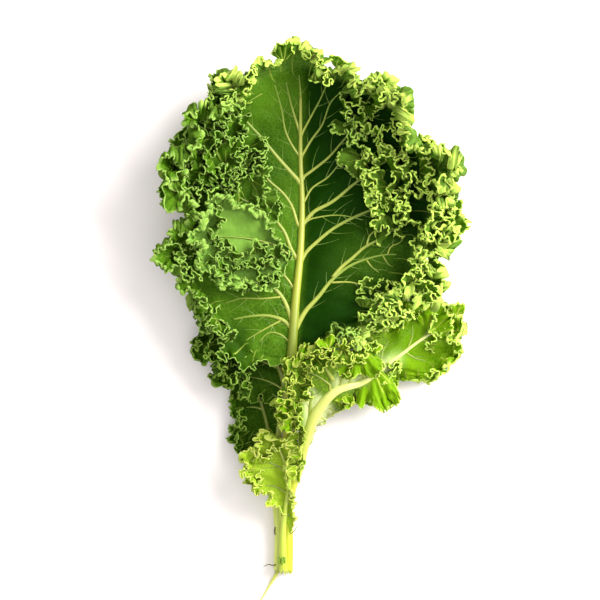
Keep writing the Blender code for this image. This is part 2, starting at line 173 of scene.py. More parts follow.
# Each leaf has:
#   stalk    (x, y, z) from the cut end to the tip of the midrib
#   girth    half width of the stalk at the cut, where the blade starts, and at the tip
#   start    share of the stalk's length at which the blade starts
#   rim      (x, y, z, root, curl, width) round the inner edge of the frill, foot to foot: root is
#            the place on the midrib that the rib to this point leaves from (0 start, 1 tip), curl
#            is how far the frill turns up in degrees, and width is the frill's own width
#   ruffles  for each size of ruffle its length along the rim, how far the strip swings to each
#            side of it in radians, and the share of the frill's width at which it sets in
#   lobes    further sheets of the same leaf, which grow from one of its side ribs
#   strands  torn fibres that hang from the cut end
LEAVES = {
    "leaf_front": {
        "stalk": [(-16.6, -154, 6.9), (-16.6, -126, 6.9), (-18, -105, 7.5), (-17, -77, 11), (-16, -46, 17),
                  (-14, -12, 20), (-12, 16, 18), (-9, 47, 12), (-8, 78, 5), (-9, 105, 1.1),
                  (-9, 126, 3.5), (-9, 143, 8)],
        "girth": (2.2, 3.1, 0.9),
        "start": 0.455,
        "rim": [(-18, -19, 20, 0, 30, 4), (-31, -17, 21, 0.01, 55, 10), (-41, -13, 21, 0.03, 70, 14),
                (-50, -3, 20, 0.07, 75, 14), (-57, 7, 20, 0.12, 80, 14), (-63, 17, 21, 0.17, 80, 15),
                (-70, 26, 22, 0.23, 80, 16), (-75, 36, 23, 0.3, 80, 17), (-77, 48, 24, 0.37, 80, 18),
                (-77, 60, 25, 0.43, 85, 20), (-75, 69, 25, 0.48, 90, 26), (-76, 80, 26, 0.52, 95, 32),
                (-76, 93, 26, 0.57, 95, 34), (-72, 106, 26, 0.62, 95, 34), (-66, 118, 25, 0.67, 95, 34),
                (-61, 130, 24, 0.73, 90, 30), (-52, 139, 22, 0.8, 85, 26), (-38, 146, 19, 0.87, 80, 22),
                (-24, 155, 16, 0.94, 75, 22), (-8, 158, 15, 1, 70, 22), (9, 153, 16, 0.94, 75, 24),
                (24, 145, 18, 0.87, 85, 28), (40, 136, 20, 0.8, 90, 30), (52, 123, 21, 0.73, 95, 33),
                (60, 109, 20, 0.65, 95, 34), (65, 94, 20, 0.57, 90, 32), (67, 78, 19, 0.48, 90, 32),
                (64, 63, 18, 0.4, 90, 30), (57, 51, 18, 0.33, 90, 28), (54, 38, 18, 0.26, 90, 28),
                (50, 25, 19, 0.2, 90, 26), (40, 14, 20, 0.14, 95, 22), (27, 6, 21, 0.09, 95, 18),
                (12, -1, 21, 0.04, 95, 16), (-2, -11, 20, 0.01, 60, 10), (-11, -18, 20, 0, 30, 4)],
        "ruffles": [(24, 1.5, 0.0), (13, 1.2, 0.2)],
        "seed": 3,
        "lobes": [{
            "stalk": [(-15, 43, 14), (-24, 50, 17), (-35, 53, 20), (-49, 55, 23), (-61, 55, 26)],
            "girth": (0.9, 0.9, 0.5),
            "start": 0.0,
            "rim": [(-18, 40, 16, 0, 40, 3), (-27, 33, 19, 0.1, 80, 8), (-38, 29, 22, 0.25, 90, 10),
                    (-49, 31, 24, 0.45, 90, 11), (-60, 36, 26, 0.65, 80, 11),
                    (-68, 45, 28, 0.85, 80, 11), (-69, 55, 29, 1, 80, 11), (-66, 64, 29, 0.85, 80, 10),
                    (-58, 71, 28, 0.65, 70, 9), (-46, 71, 26, 0.45, 60, 8), (-35, 64, 22, 0.25, 50, 6),
                    (-24, 53, 18, 0.1, 40, 4), (-17, 47, 16, 0, 30, 3)],
            "ruffles": [(12, 1.3, 0.0)],
            "seed": 4,
        }],
    },
    "leaf_left": {
        "stalk": [(-22.8, -153, 6.9), (-22.8, -126, 6.9), (-24.5, -108, 7.7), (-24.5, -89, 8.8),
                  (-22, -64, 9.5), (-19, -38, 10), (-24, -23, 9.5), (-32, -12, 10), (-42, 1, 9.5),
                  (-51, 14, 8.5)],
        "girth": (2.1, 2.0, 0.8),
        "start": 0.58,
        "rim": [(-23, -48, 9.5, 0, 30, 4), (-31, -40, 9.5, 0.04, 60, 8), (-42, -33, 9, 0.12, 75, 12),
                (-52, -26, 7, 0.24, 75, 15), (-58, -15, 6, 0.4, 75, 17), (-60, -3, 5.5, 0.58, 75, 17),
                (-62, 7, 6, 0.75, 75, 14), (-62, 16, 7, 0.9, 60, 11), (-58, 23, 8.5, 1, 40, 8),
                (-49, 24, 10.5, 0.9, 25, 6), (-40, 16, 11, 0.75, 20, 6), (-33, 5, 11.5, 0.58, 20, 6),
                (-27, -7, 11.5, 0.4, 20, 6), (-21, -20, 11, 0.22, 20, 5), (-17, -32, 10, 0.08, 20, 4),
                (-17, -45, 9, 0, 30, 3)],
        "ruffles": [(14, 1.4, 0.0)],
        "seed": 5,
    },
    "leaf_left_low": {
        "stalk": [(-22.8, -154, 1.9), (-22.8, -126, 1.9), (-25, -108, 2), (-28, -89, 2.4), (-28.5, -70, 3),
                  (-31, -58, 3.5), (-34, -48, 3.8), (-38, -40, 4)],
        "girth": (2.1, 1.8, 0.8),
        "start": 0.5,
        "rim": [(-29.5, -93, 3, 0, 30, 3), (-34, -87, 3, 0.1, 55, 6), (-39, -78, 3, 0.28, 65, 8),
                (-42, -68, 3, 0.48, 65, 9), (-43, -58, 3, 0.65, 65, 9), (-46, -48, 3, 0.82, 50, 8),
                (-45, -39, 3, 0.95, 30, 6), (-40, -35, 3.5, 1, 20, 4), (-34, -38, 3.5, 0.92, 20, 4),
                (-30, -46, 3.5, 0.75, 20, 4), (-27.5, -55, 3.5, 0.55, 20, 4),
                (-26, -65, 3.2, 0.32, 20, 4), (-25.5, -78, 3, 0.12, 25, 3), (-27, -91, 3, 0, 30, 2)],
        "ruffles": [(11, 1.2, 0.0)],
        "seed": 8,
        "strands": [[(-22, -150, 1.9), (-24, -156, 1.5), (-28, -163, 0.9), (-32, -170, 0.7),
                     (-36, -176, 0.7)]],
    },
    "leaf_right": {
        "stalk": [(-16.6, -154, 1.9), (-16.6, -126, 1.9), (-14.5, -105, 3.5), (-9.5, -89, 8),
                  (-5.5, -71, 15), (2, -52, 22), (13, -40, 26), (29, -35, 22), (51, -20, 14),
                  (66, -9, 11), (74, -4, 10)],
        "girth": (2.1, 2.2, 0.8),
        "start": 0.3,
        "rim": [(-11, -97, 7, 0, 30, 2), (-10, -83, 13, 0.05, 45, 4), (-10, -67, 21, 0.11, 50, 5),
                (-13, -54, 26, 0.18, 60, 6), (-13, -43, 30, 0.24, 55, 7), (-12, -31, 34, 0.29, 50, 7),
                (-7, -21, 36, 0.34, 45, 7), (3, -19, 37, 0.38, 40, 6), (15, -21, 35, 0.43, 35, 5),
                (26, -20, 26, 0.48, 25, 5), (37, -10, 16, 0.54, 20, 5), (47, -5, 12, 0.62, 15, 5),
                (56, 0, 11, 0.7, 20, 6), (67, 8, 9, 0.8, 35, 8), (78, 6, 8, 0.9, 55, 10),
                (83, -3, 8, 1, 65, 10), (81, -14, 8, 0.93, 65, 10), (73, -23, 8, 0.84, 60, 10),
                (62, -27, 9, 0.74, 60, 9), (50, -28, 11, 0.66, 50, 8), (43, -37, 10, 0.58, 40, 8),
                (36, -43, 11, 0.54, 40, 8), (28, -40, 17, 0.5, 50, 8), (18, -44, 20, 0.42, 60, 7),
                (9, -50, 19, 0.32, 60, 7), (-1, -62, 16, 0.22, 60, 5), (-6, -76, 12, 0.13, 60, 4),
                (-9, -90, 8, 0.04, 50, 3), (-10, -98, 6, 0, 30, 2)],
        "ruffles": [(12, 1.3, 0.0)],
        "seed": 13,
    },
    "leaf_small_front": {
        "stalk": [(-19.7, -153, 11.3), (-19.7, -126, 11.3), (-18, -111, 13), (-16, -95, 17),
                  (-19, -84, 20), (-22, -76, 21)],
        "girth": (2.1, 1.8, 0.7),
        "start": 0.4,
        "rim": [(-19, -120, 12, 0, 30, 2), (-24, -108, 16, 0.18, 60, 5), (-32, -100, 19, 0.34, 75, 9),
                (-37, -91, 20, 0.5, 75, 9), (-37, -81, 21, 0.68, 70, 9), (-31, -74, 22, 0.86, 65, 8),
                (-24, -71, 22.5, 1, 60, 7), (-19, -75, 22.5, 0.86, 50, 6), (-17, -84, 21.5, 0.68, 50, 5),
                (-16, -93, 19.5, 0.5, 55, 4), (-15.5, -102, 16.5, 0.32, 55, 4),
                (-16, -110, 13.5, 0.2, 50, 4), (-15, -120, 12.5, 0.1, 50, 3), (-16, -129, 11.5, 0, 30, 2)],
        "ruffles": [(10, 1.2, 0.0)],
        "seed": 21,
    },
}

# The scene's own, finer rows of each blade: columns from foot to foot, rows between midrib and rim,
# rows of the frill in groups whose columns double, and the finer ruffles on it. The frill lies open
# at some places and is narrow at others: (x, y, size, how far).
FINE = {
    "leaf_front": {"columns": 368, "inner": 26, "frill": (4, 7, 6, 5), "finer": [(4.6, 1.3, 0.6)],
                   "open": [(-22, 156, 24, 0.65), (30, 138, 10, 0.3)],
                   "narrow": [(-49, 141, 9, 0.45), (14, 151, 6, 0.25), (-77, 60, 8, 0.2)]},
    "leaf_front_lobe": {"columns": 120, "inner": 10, "frill": (3, 4, 4, 3),
                        "finer": [(7.5, 1.2, 0.3), (4, 1.2, 0.6)]},
    "leaf_left": {"columns": 200, "inner": 14, "frill": (3, 5, 5, 4),
                  "finer": [(9, 1.2, 0.25), (4.2, 1.3, 0.6)]},
    "leaf_left_low": {"columns": 150, "inner": 10, "frill": (3, 5, 5, 4),
                      "finer": [(7, 1.2, 0.3), (4, 1.2, 0.6)]},
    "leaf_right": {"columns": 230, "inner": 14, "frill": (3, 5, 5, 4),
                   "finer": [(8, 1.2, 0.25), (4, 1.3, 0.6)]},
    "leaf_small_front": {"columns": 130, "inner": 10, "frill": (3, 4, 4, 3),
                         "finer": [(7, 1.2, 0.3), (4, 1.2, 0.6)]},
}

# Bands of small frilled folds that stand on the blades: the inner and the outer line (x, y) that
# each runs between, and its shortest and longest fold. Folds near the inner line lean in over the
# leaf, those near the outer line lean out.
FOLD_BANDS = {
    "leaf_front": [
        ([(-33, 109), (-34, 100), (-37, 90), (-28, 78), (-27, 69)],
         [(-66, 127), (-83, 110), (-89, 98), (-87, 81), (-79, 72)], 9, 15),
        ([(-54, 135), (-47, 125), (-39, 115)], [(-62, 144), (-67, 134), (-66, 125)], 8, 13),
        ([(-2, 158), (3, 152), (8, 148)], [(-2, 170), (5, 166), (15, 158)], 7, 11),
        ([(16, 140), (19, 122), (22, 109), (25, 98)],
         [(27, 144), (44, 135), (53, 126), (58, 116)], 9, 14),
        ([(27, 97), (35, 96), (37, 84), (35, 75), (57, 60)],
         [(60, 114), (70, 102), (74, 87), (84, 69), (72, 54)], 9, 15),
        ([(57, 50), (57, 36), (51, 24)], [(73, 48), (70, 30), (62, 15)], 7, 11),
        ([(24, 31), (36, 30), (47, 27)], [(27, 22), (38, 19), (48, 14)], 6, 9),
        ([(24, 14), (38, 16), (54, 14)], [(26, 2), (42, 0), (56, 2)], 7, 11),
        ([(4, -6), (18, -3), (32, 2)], [(6, -13), (22, -12), (38, -7)], 7, 10),
        ([(-82, 53), (-77, 40), (-68, 28)], [(-86, 52), (-86, 41), (-75, 26)], 7, 11),
        ([(-60, 22), (-56, 9), (-51, -2)], [(-67, 19), (-65, 5), (-64, -9)], 7, 11),
        ([(-40, 142), (-36, 151)], [(-46, 145), (-40, 153)], 7, 11),
        ([(-22, 44), (-33, 36), (-46, 40), (-62, 50), (-65, 64)],
         [(-24, 33), (-37, 25), (-56, 28), (-71, 40), (-72, 62)], 7, 11),
    ],
    "leaf_front_lobe": [
        ([(-27, 49), (-38, 48), (-50, 49), (-62, 52)],
         [(-27, 36), (-40, 31), (-54, 34), (-66, 44)], 6, 10),
        ([(-60, 58), (-55, 63)], [(-68, 62), (-62, 70)], 8, 12),
    ],
    "leaf_left": [
        ([(-56, 4), (-56, -12), (-46, -27), (-33, -37)],
         [(-64, 5), (-64, -12), (-57, -27), (-38, -44)], 6, 10),
    ],
    "leaf_left_low": [
        ([(-40, -49), (-40, -61), (-35, -71)], [(-46, -49), (-47, -60), (-42, -73)], 5, 8),
    ],
    "leaf_right": [
        ([(36, -14), (15, -19), (0, -19), (-6, -27), (-6, -41), (-10, -56), (-12, -72)],
         [(38, -4), (17, -6), (0, -7), (-17, -21), (-26, -43), (-28, -60), (-26, -77)], 6, 11),
        ([(73, -14), (74, 1)], [(85, -16), (86, 8)], 5, 9),
        ([(40, -30), (52, -27), (68, -23)], [(43, -41), (54, -35), (74, -30)], 5, 8),
        ([(13, -41), (24, -38)], [(15, -49), (25, -47)], 5, 8),
        ([(-13, -76), (-12, -98)], [(-16, -76), (-15, -98)], 4, 6),
        ([(20, -20), (34, -22), (46, -22)], [(22, -30), (36, -30), (48, -29)], 5, 8),
        ([(52, -5), (66, 2)], [(56, 6), (69, 13)], 5, 8),
    ],
    "leaf_small_front": [
        ([(-18, -72), (-25, -79), (-28, -89), (-29, -100)],
         [(-17, -66), (-26, -71), (-35, -83), (-34, -101)], 5, 8),
    ],
}

# Single folds at places where the bunch has one that stands out: (x, y) of its root, the way it
# points in plan and how far it leans over, both in degrees, its length, opening and curl (radians).
SINGLE_FOLDS = {
    "leaf_front": [(-50, 138, 139, 74, 19, 1.5, -0.4), (-33, 147, 186, 78, 17, 1.1, -0.3),
                   (-13, 160, 92, 60, 11, 1.7, -0.3), (80, 64, -10, 78, 15, 1.3, -0.3),
                   (-56, 100, 100, 45, 17, 2.0, 0.5), (-44, 78, 170, 40, 15, 2.2, 0.5),
                   (46, 86, 200, 50, 16, 2.2, 0.6), (58, 24, 20, 60, 15, 2.0, -0.4)],
    "leaf_left": [(-42, -28, 118, 25, 15, 2.0, 0.5), (-44, -10, 150, 35, 13, 2.0, 0.5)],
    "leaf_left_low": [(-39, -64, 211, 82, 14, 1.3, -0.3)],
    "leaf_right": [(35, -27, -76, 88, 23, 1.3, 0.2), (71, -5, 60, 72, 18, 1.9, -0.3),
                   (28, -14, -90, 70, 17, 2.3, 0.4), (58, 2, 100, 74, 12, 1.8, -0.3),
                   (-2, -30, 120, 55, 17, 2.0, 0.5)],
    "leaf_small_front": [(-32, -93, 201, 78, 10, 1.6, -0.3), (-18, -73, 12, 82, 9, 1.8, 0.2),
                         (-17, -79, 5, 80, 7, 1.8, 0.2),
                         (-17, -86, 0, 82, 7, 1.8, 0.2), (-16, -93, -5, 84, 6, 1.8, 0.2)],
}

# Folds: columns at the root, rows in groups whose columns double, samples along a fold's rim for
# its ruffles, and how many folds make one piece.
FOLD_COLUMNS = 20
FOLD_ROWS = (2, 4, 3)
FOLD_SAMPLES = 600
FOLDS_PER_PIECE = 70

# A fold's ruffles, as a leaf's; the width of its root as a share of its length; the power by which
# its curl grows; waves of its outline as (turns, share of its length); turns and size of its teeth;
# how much shorter it is at its sides; its veins and where they end; and the range of painted shade,
# from which each fold draws how much darker it is painted.
FOLD_RUFFLES = [(9.0, 1.35, 0.1), (4.4, 1.35, 0.45)]
FOLD_ROOT = 0.35
FOLD_CURL_GROWTH = 1.3
FOLD_WAVES = ((9, 0.14), (19, 0.08))
FOLD_TEETH = 60.0
FOLD_TOOTH = 0.16
FOLD_ROUNDING = 0.45
FOLD_VEINS = 4
FOLD_VEIN_END = 0.75
FOLD_PAINTED_SHADE = (0.05, 0.6)

# Folds in bands: samples along a band, the distance between the folds' roots, how far these stray
# along the band (share of the distance) and anyhow (millimetres), lean at the band's edges and its
# spread in degrees, spread of the way they point in radians, the share that curl back, ranges of
# opening and curl in radians, and how deep the roots lie in the blade.
BAND_SAMPLES = 60
FOLD_STEP = 8.3
FOLD_STRAY = (0.3, 1.0)
FOLD_LEAN = (55, 25)
FOLD_AIM_SPREAD = 0.5
CURLED_BACK = 0.2
FOLD_OPENING = (2.3, 3.6)
FOLD_CURL = (0.2, 0.9)
FOLD_DEPTH = 0.6

# Side ribs of the front leaf: points (x, y), half width where it starts and where it ends.
FRONT_RIBS = [
    ([(-13, -4), (-19, 3), (-27, 6), (-40, 6), (-51, 4)], 1.1, 0.4),
    ([(-20, 4), (-33, -3), (-43, -9)], 0.5, 0.25),
    ([(-14, -12), (-22, -5), (-28, -4), (-35, -10)], 0.5, 0.25),
    ([(-14, 1), (-17, 11), (-22, 20), (-32, 28), (-39, 32), (-52, 37)], 1.2, 0.5),
    ([(-21, 18), (-33, 17), (-46, 17), (-56, 14)], 0.5, 0.25),
    ([(-11, 18), (-15, 26), (-20, 32), (-27, 36), (-32, 44), (-50, 52)], 0.7, 0.3),
    ([(-10, 40), (-14, 46), (-20, 60), (-27, 68), (-35, 74), (-46, 79), (-58, 84)], 1.1, 0.4),
    ([(-16, 46), (-24, 49), (-34, 54), (-50, 58), (-62, 57)], 0.8, 0.35),
    ([(-11, 64), (-15, 76), (-20, 83), (-28, 90), (-40, 104), (-50, 110), (-60, 114)], 0.8, 0.3),
    ([(-11, 92), (-22, 104), (-33, 117), (-46, 131), (-52, 139)], 1.1, 0.5),
    ([(-10, 107), (-14, 113), (-18, 121), (-21, 136), (-25, 150)], 0.6, 0.3),
    ([(-10, 123), (-15, 139), (-18, 152)], 0.7, 0.35),
    ([(-12, -2), (-6, 9), (2, 18), (10, 28), (23, 38), (32, 41.5), (42, 44), (60, 44)], 1.4, 0.3),
    ([(11, 30), (16, 36), (23, 42), (31, 49), (40, 54), (46, 58), (54, 63), (58, 68)], 1.0, 0.3),
    ([(32, 49), (34, 56), (38, 60), (43, 65)], 0.5, 0.25),
    ([(45, 44), (47, 49), (53, 52), (56, 56)], 0.4, 0.2),
    ([(32, 41), (35, 37), (40, 33)], 0.4, 0.2),
    ([(42, 44), (46, 38), (54, 35)], 0.35, 0.15),
    ([(52, 44), (57, 38)], 0.35, 0.2),
    ([(10, 27), (23, 27), (35, 23), (44, 20)], 0.5, 0.25),
    ([(-10, 36), (-6, 45), (2, 53), (12, 61), (25, 68), (40, 74), (58, 80)], 1.1, 0.4),
    ([(-7, 63), (-4, 66), (3, 68), (16, 69), (30, 66)], 0.5, 0.2),
    ([(-7, 64), (-1, 71), (10, 77), (25, 89), (40, 100), (54, 108)], 1.1, 0.4),
    ([(-7, 77), (-2, 86), (8, 93), (17, 103), (26, 110)], 0.6, 0.25),
    ([(-8, 93), (-1, 98), (9, 106), (17, 115), (30, 128), (40, 131)], 0.8, 0.3),
    ([(-8, 107), (-2, 117), (4, 125), (11, 141), (18, 147)], 0.7, 0.3),
    ([(-7, 123), (-2, 132), (4, 143), (8, 152)], 0.6, 0.3),
    ([(-9, 130), (-9, 145), (-10, 158)], 0.6, 0.3),
]

# Side ribs of the right leaf, in the same way.
RIGHT_RIBS = [
    ([(11, -33), (6, -25), (2, -18), (-1, -12)], 1.1, 0.5),
    ([(9, -36), (2, -31), (-5, -28), (-10, -27)], 0.6, 0.3),
    ([(16, -34), (14, -27), (11, -19)], 0.7, 0.3),
    ([(22, -32), (20, -26), (21, -19)], 0.5, 0.25),
    ([(30, -31), (29, -24), (31, -16)], 0.5, 0.25),
    ([(-3, -58), (-3, -48), (-2, -40), (-7, -39)], 0.9, 0.5),
    ([(41, -24), (42, -16), (46, -9)], 0.5, 0.25),
    ([(58, -14), (61, -5), (60, 3), (57, 10)], 0.5, 0.25),
    ([(64, -10), (72, -2), (77, 6), (80, 11)], 0.5, 0.25),
    ([(56, -16), (62, -20), (70, -22), (78, -23)], 0.5, 0.25),
    ([(50, -20), (53, -26), (56, -31)], 0.4, 0.2),
    ([(66, -9), (73, -10), (80, -9)], 0.4, 0.2),
]

RIBS = {"leaf_front": FRONT_RIBS, "leaf_right": RIGHT_RIBS}

# Smooth humps as (middle, spread, height): where a stalk flares out flat, along its length from 0
# to 1, and where the front leaf's midrib lies in the shade of its frill, along Y.
FLARES = {"leaf_right": (0.56, 0.2, 0.85)}
DIMMED = {"leaf_front": (-12, 30, 0.8)}
NO_HUMP = (0.5, 1.0, 0.0)

# Colours of the leaf tissue: in the hollow, in the frill, on the underside, along the small veins,
# on the frill's edge and where it is pale; the pale one also serves as painted light on the front
# leaf's frill towards the light and on its lobe.
DARK_LEAF = ((0.036, 0.1, 0.003), (0.066, 0.165, 0.005), (0.095, 0.18, 0.018), (0.24, 0.33, 0.045),
             (0.28, 0.44, 0.08), (0.42, 0.72, 0.13))
# The leaves that lie under the front one take darker colours than it: painted shade.
BACK_LEAF = ((0.02, 0.065, 0.0015), (0.042, 0.115, 0.003), (0.06, 0.13, 0.01), (0.17, 0.26, 0.03),
             (0.22, 0.34, 0.05), (0.3, 0.4, 0.1))
RIGHT_LEAF = ((0.1, 0.24, 0.001), (0.17, 0.34, 0.003), (0.11, 0.185, 0.02), (0.4, 0.46, 0.06),
              (0.44, 0.52, 0.08), (0.7, 0.76, 0.34))
SMALL_LEAF = ((0.24, 0.35, 0.02), (0.3, 0.45, 0.017), (0.34, 0.45, 0.06), (0.5, 0.56, 0.1),
              (0.55, 0.63, 0.12), (0.7, 0.76, 0.36))
# Painted light: the colour of the frill's edge on the side towards the light, and how much of the pale
# colour the lobe is painted with all over.
LIT_EDGE = (0.55, 0.75, 0.12)
LOBE_PAINTED_LIGHT = 0.3

# What the shade leaves of a leaf's deepest colour, and the colour of ribs in the shade.
SHADE_TINT = (0.15, 0.31, 0.08)
RIB_SHADE = (0.16, 0.22, 0.015)

# Colours of ribs and stalks: where they start and where they end.
RIB = ((0.42, 0.45, 0.07), (0.2, 0.3, 0.03))
VEIN = ((0.2, 0.3, 0.04), (0.09, 0.17, 0.012))
PALE_STALK = ((0.6, 0.67, 0.13), (0.2, 0.26, 0.03))
FRONT_STALK = ((0.58, 0.6, 0.02), (0.36, 0.4, 0.06))
RIGHT_STALK = ((0.58, 0.6, 0.02), (0.7, 0.74, 0.26))
SMALL_STALK = ((0.44, 0.56, 0.02), (0.5, 0.55, 0.12))
SCAR = ((0.14, 0.09, 0.03), (0.1, 0.12, 0.03))
TORN = ((0.13, 0.26, 0.002), (0.24, 0.36, 0.004))

# The photo's size, how wide one of its pixels is LEVEL metres over the table, and the pixel at the
# tables' origin. The camera's height and sensor.
PHOTO_SIZE = 600
PIXEL = 0.62
ORIGIN_PIXEL = (315, 326)
LEVEL = 0.02
CAMERA_HEIGHT = 1.2
SENSOR = 36.0

# The floor's half size and colour, the lights (name, place, size, power) and the world's strength.
FLOOR_SIZE = 4.0
FLOOR_COLOUR = (0.95, 0.885, 0.87)
LIGHTS = (("key", (1.0, 0.6, 0.8), 1.0, 41.0), ("fill", (0.1, -0.2, 1.4), 1.4, 5.0))
WORLD_STRENGTH = 0.8


def smooth_curve(rows, count):
    """Rows evenly spaced along a smooth curve through the given rows, whose first three are x, y, z."""
    rows = np.array(rows, dtype=float)
    steps = np.linalg.norm(np.diff(rows[:, :3], axis=0), axis=1)
    knots = np.concatenate(([0.0], np.cumsum(steps)))
    slopes = np.gradient(rows, knots, axis=0)
    places = np.linspace(0.0, knots[-1], ROW_SAMPLES * len(rows))
    spans = np.clip(np.searchsorted(knots, places, side="right") - 1, 0, len(rows) - 2)
    width = steps[spans][:, None]
    share = (places - knots[spans])[:, None] / width
    curve = (rows[spans] * (2 * share**3 - 3 * share**2 + 1)
             + slopes[spans] * width * (share**3 - 2 * share**2 + share)
             + rows[spans + 1] * (3 * share**2 - 2 * share**3)
             + slopes[spans + 1] * width * (share**3 - share**2))
    return evenly_spaced(curve, count)


def evenly_spaced(curve, count):
    """Rows at even distances along a curve."""
    steps = np.linalg.norm(np.diff(curve[:, :3], axis=0), axis=1)
    lengths = np.concatenate(([0.0], np.cumsum(steps)))
    places = np.linspace(0.0, lengths[-1], count)
    return np.stack([np.interp(places, lengths, column) for column in curve.T], axis=1)


def unit(vectors):
    return vectors / np.linalg.norm(vectors, axis=-1, keepdims=True)


def pick(table, places):
    """Rows of a table at fractional places from 0 to 1 along it."""
    grid = np.linspace(0.0, 1.0, len(table))
    return np.stack([np.interp(places, grid, column) for column in table.T], axis=1)


def running_mean(values, reach):
    """Mean over a window of reach samples to each side, which closes up at the ends."""
    total = np.concatenate(([0.0], np.cumsum(values)))
    index = np.arange(len(values))
    spread = np.minimum(reach, np.minimum(index, len(values) - 1 - index))
    return (total[index + spread + 1] - total[index - spread]) / (2 * spread + 1)


class Blade:
    """One blade's middle surface, from its stalk or rib, its rim and its ruffles."""

    def __init__(self, leaf, fine):
        self.leaf = leaf
        self.fine = fine
        stalk = smooth_curve(leaf["stalk"], STALK_SAMPLES)
        rim = smooth_curve(leaf["rim"], RIM_SAMPLES)
        self.length = np.linalg.norm(np.diff(rim[:, :3], axis=0), axis=1).sum()
        self.edge = rim[:, :3]
        self.root, self.width = rim[:, 3], rim[:, 5]
        spread = self.around("open")
        self.calm = 1.0 - spread
        self.curl = np.radians(rim[:, 4]) * (1.0 - OPEN_CURL * spread)
        self.notch = OPEN_WIDTH * spread + self.around("narrow")
        run = unit(np.gradient(self.edge, axis=0))
        tip = int(np.argmax(self.root))
        side = np.where(np.arange(RIM_SAMPLES) < tip, 1.0, -1.0)
        places = leaf["start"] + (1.0 - leaf["start"]) * np.clip(self.root, 0.0, 1.0)
        base = pick(stalk, places)
        ahead = unit(pick(np.gradient(stalk, axis=0), places))
        left = unit(np.cross((0.0, 0.0, 1.0), ahead))
        self.base = base + left * side[:, None] * RIB_ROOT * stalk_girth(leaf, places)[:, None]
        reach = self.edge - self.base
        far = np.linalg.norm(reach, axis=1, keepdims=True)
        self.bend = self.base + RIB_BEND * far * unit(RIB_AHEAD * ahead + reach / far)
        self.bend[:, 2] = self.base[:, 2] + RIB_RISE * reach[:, 2]
        out = unit(self.edge - self.bend)
        self.out = unit(out - run * np.sum(out * run, axis=1, keepdims=True))
        self.normal = np.cross(run, self.out)

    def around(self, title):
        """How near each point of the rim is to the places of one of the fine table's lists."""
        total = np.zeros(RIM_SAMPLES)
        for x, y, size, amount in self.fine.get(title, []):
            gap = np.hypot(self.edge[:, 0] - x, self.edge[:, 1] - y)
            total += amount * np.exp(-(gap / size)**2)
        return total

    def inner(self, share, spots):
        """Points at one share of the way from the midrib to the rim."""
        line = (1 - share)**2 * self.base + 2 * share * (1 - share) * self.bend + share**2 * self.edge
        return pick(line, spots)

    def frill(self, share, spots):
        """Points at one share of the frill's width."""
        width = self.width * (FRILL_WIDTH + self.scallops() - self.notch)
        width = width + bite(share) * self.teeth()
        strip, lift = curled_strip(self.edge, self.out, self.normal, self.curl, width, share)
        grid = np.linspace(0, 1, RUFFLE_SAMPLES)
        room = np.interp(grid, RIM_PLACES, self.width * self.calm)
        levels = self.leaf["ruffles"] + self.fine["finer"]
        forward, sideways = ruffle(self.leaf["seed"], levels, self.length, room, share, CALM_END)
        forward = np.clip(np.interp(spots, grid, forward / self.length), 0.0, 1.0)
        sideways = np.interp(spots, grid, sideways)
        return pick(strip, forward) + pick(lift, forward) * sideways[:, None]

    def scallops(self):
        """Uneven lobes of the frill's outer edge, as a share of its width."""
        draw = np.random.default_rng(self.leaf["seed"] + 100)
        along = np.linspace(0.0, self.length, RIM_SAMPLES)
        total = np.zeros(RIM_SAMPLES)
        for wave, size in SCALLOPS:
            total += size * np.sin(2 * math.pi * along / wave + draw.uniform(0, 2 * math.pi))
        return total

    def teeth(self):
        """Height of the small uneven teeth along the frill's outer edge."""
        along = np.linspace(0.0, self.length, RIM_SAMPLES)
        turn = math.pi * along / TOOTH_LENGTH
        for amount, slowness in TOOTH_DRIFT:
            turn = turn + amount * np.sin(along / slowness)
        return TOOTH_HEIGHT * np.abs(np.sin(turn)) * np.clip(self.width / TOOTHED_WIDTH, 0, 1)

    def rib(self, spot, count):
        """A rib of the blade, from the midrib to the frill, at one place round the rim."""
        return np.concatenate([self.inner(share, np.array([spot]))
                               for share in np.linspace(0.0, 0.97, count)])

    def rows(self):
        """Rows of points with the share of the way out: 0 midrib, 1 rim, 2 the frill's edge."""
        count = self.fine["inner"]
        spots = np.linspace(0, 1, self.fine["columns"] + 1)
        rows = [(self.inner(step / count, spots), step / count) for step in range(count)]
        for columns, share in frill_rows(self.fine["columns"], self.fine["frill"], self.width.mean()):
            rows.append((self.frill(share, np.linspace(0, 1, columns + 1)), 1.0 + share))
        return rows


def bite(share):
    """How much of the teeth's height shows at a share of the frill's width."""
    return max(0.0, (share - TOOTH_START) / (1.0 - TOOTH_START))**2


def frill_rows(columns, groups, width):
    """Columns of each row of a frill and its share of the width, the last but one near the edge."""
    counts = [columns * 2**level for level, rows in enumerate(groups) for _ in range(rows)]
    shares = np.append(np.linspace(0.0, 1.0 - EDGE_WIDTH / width, len(counts) - 1), 1.0)
    return zip(counts, shares)


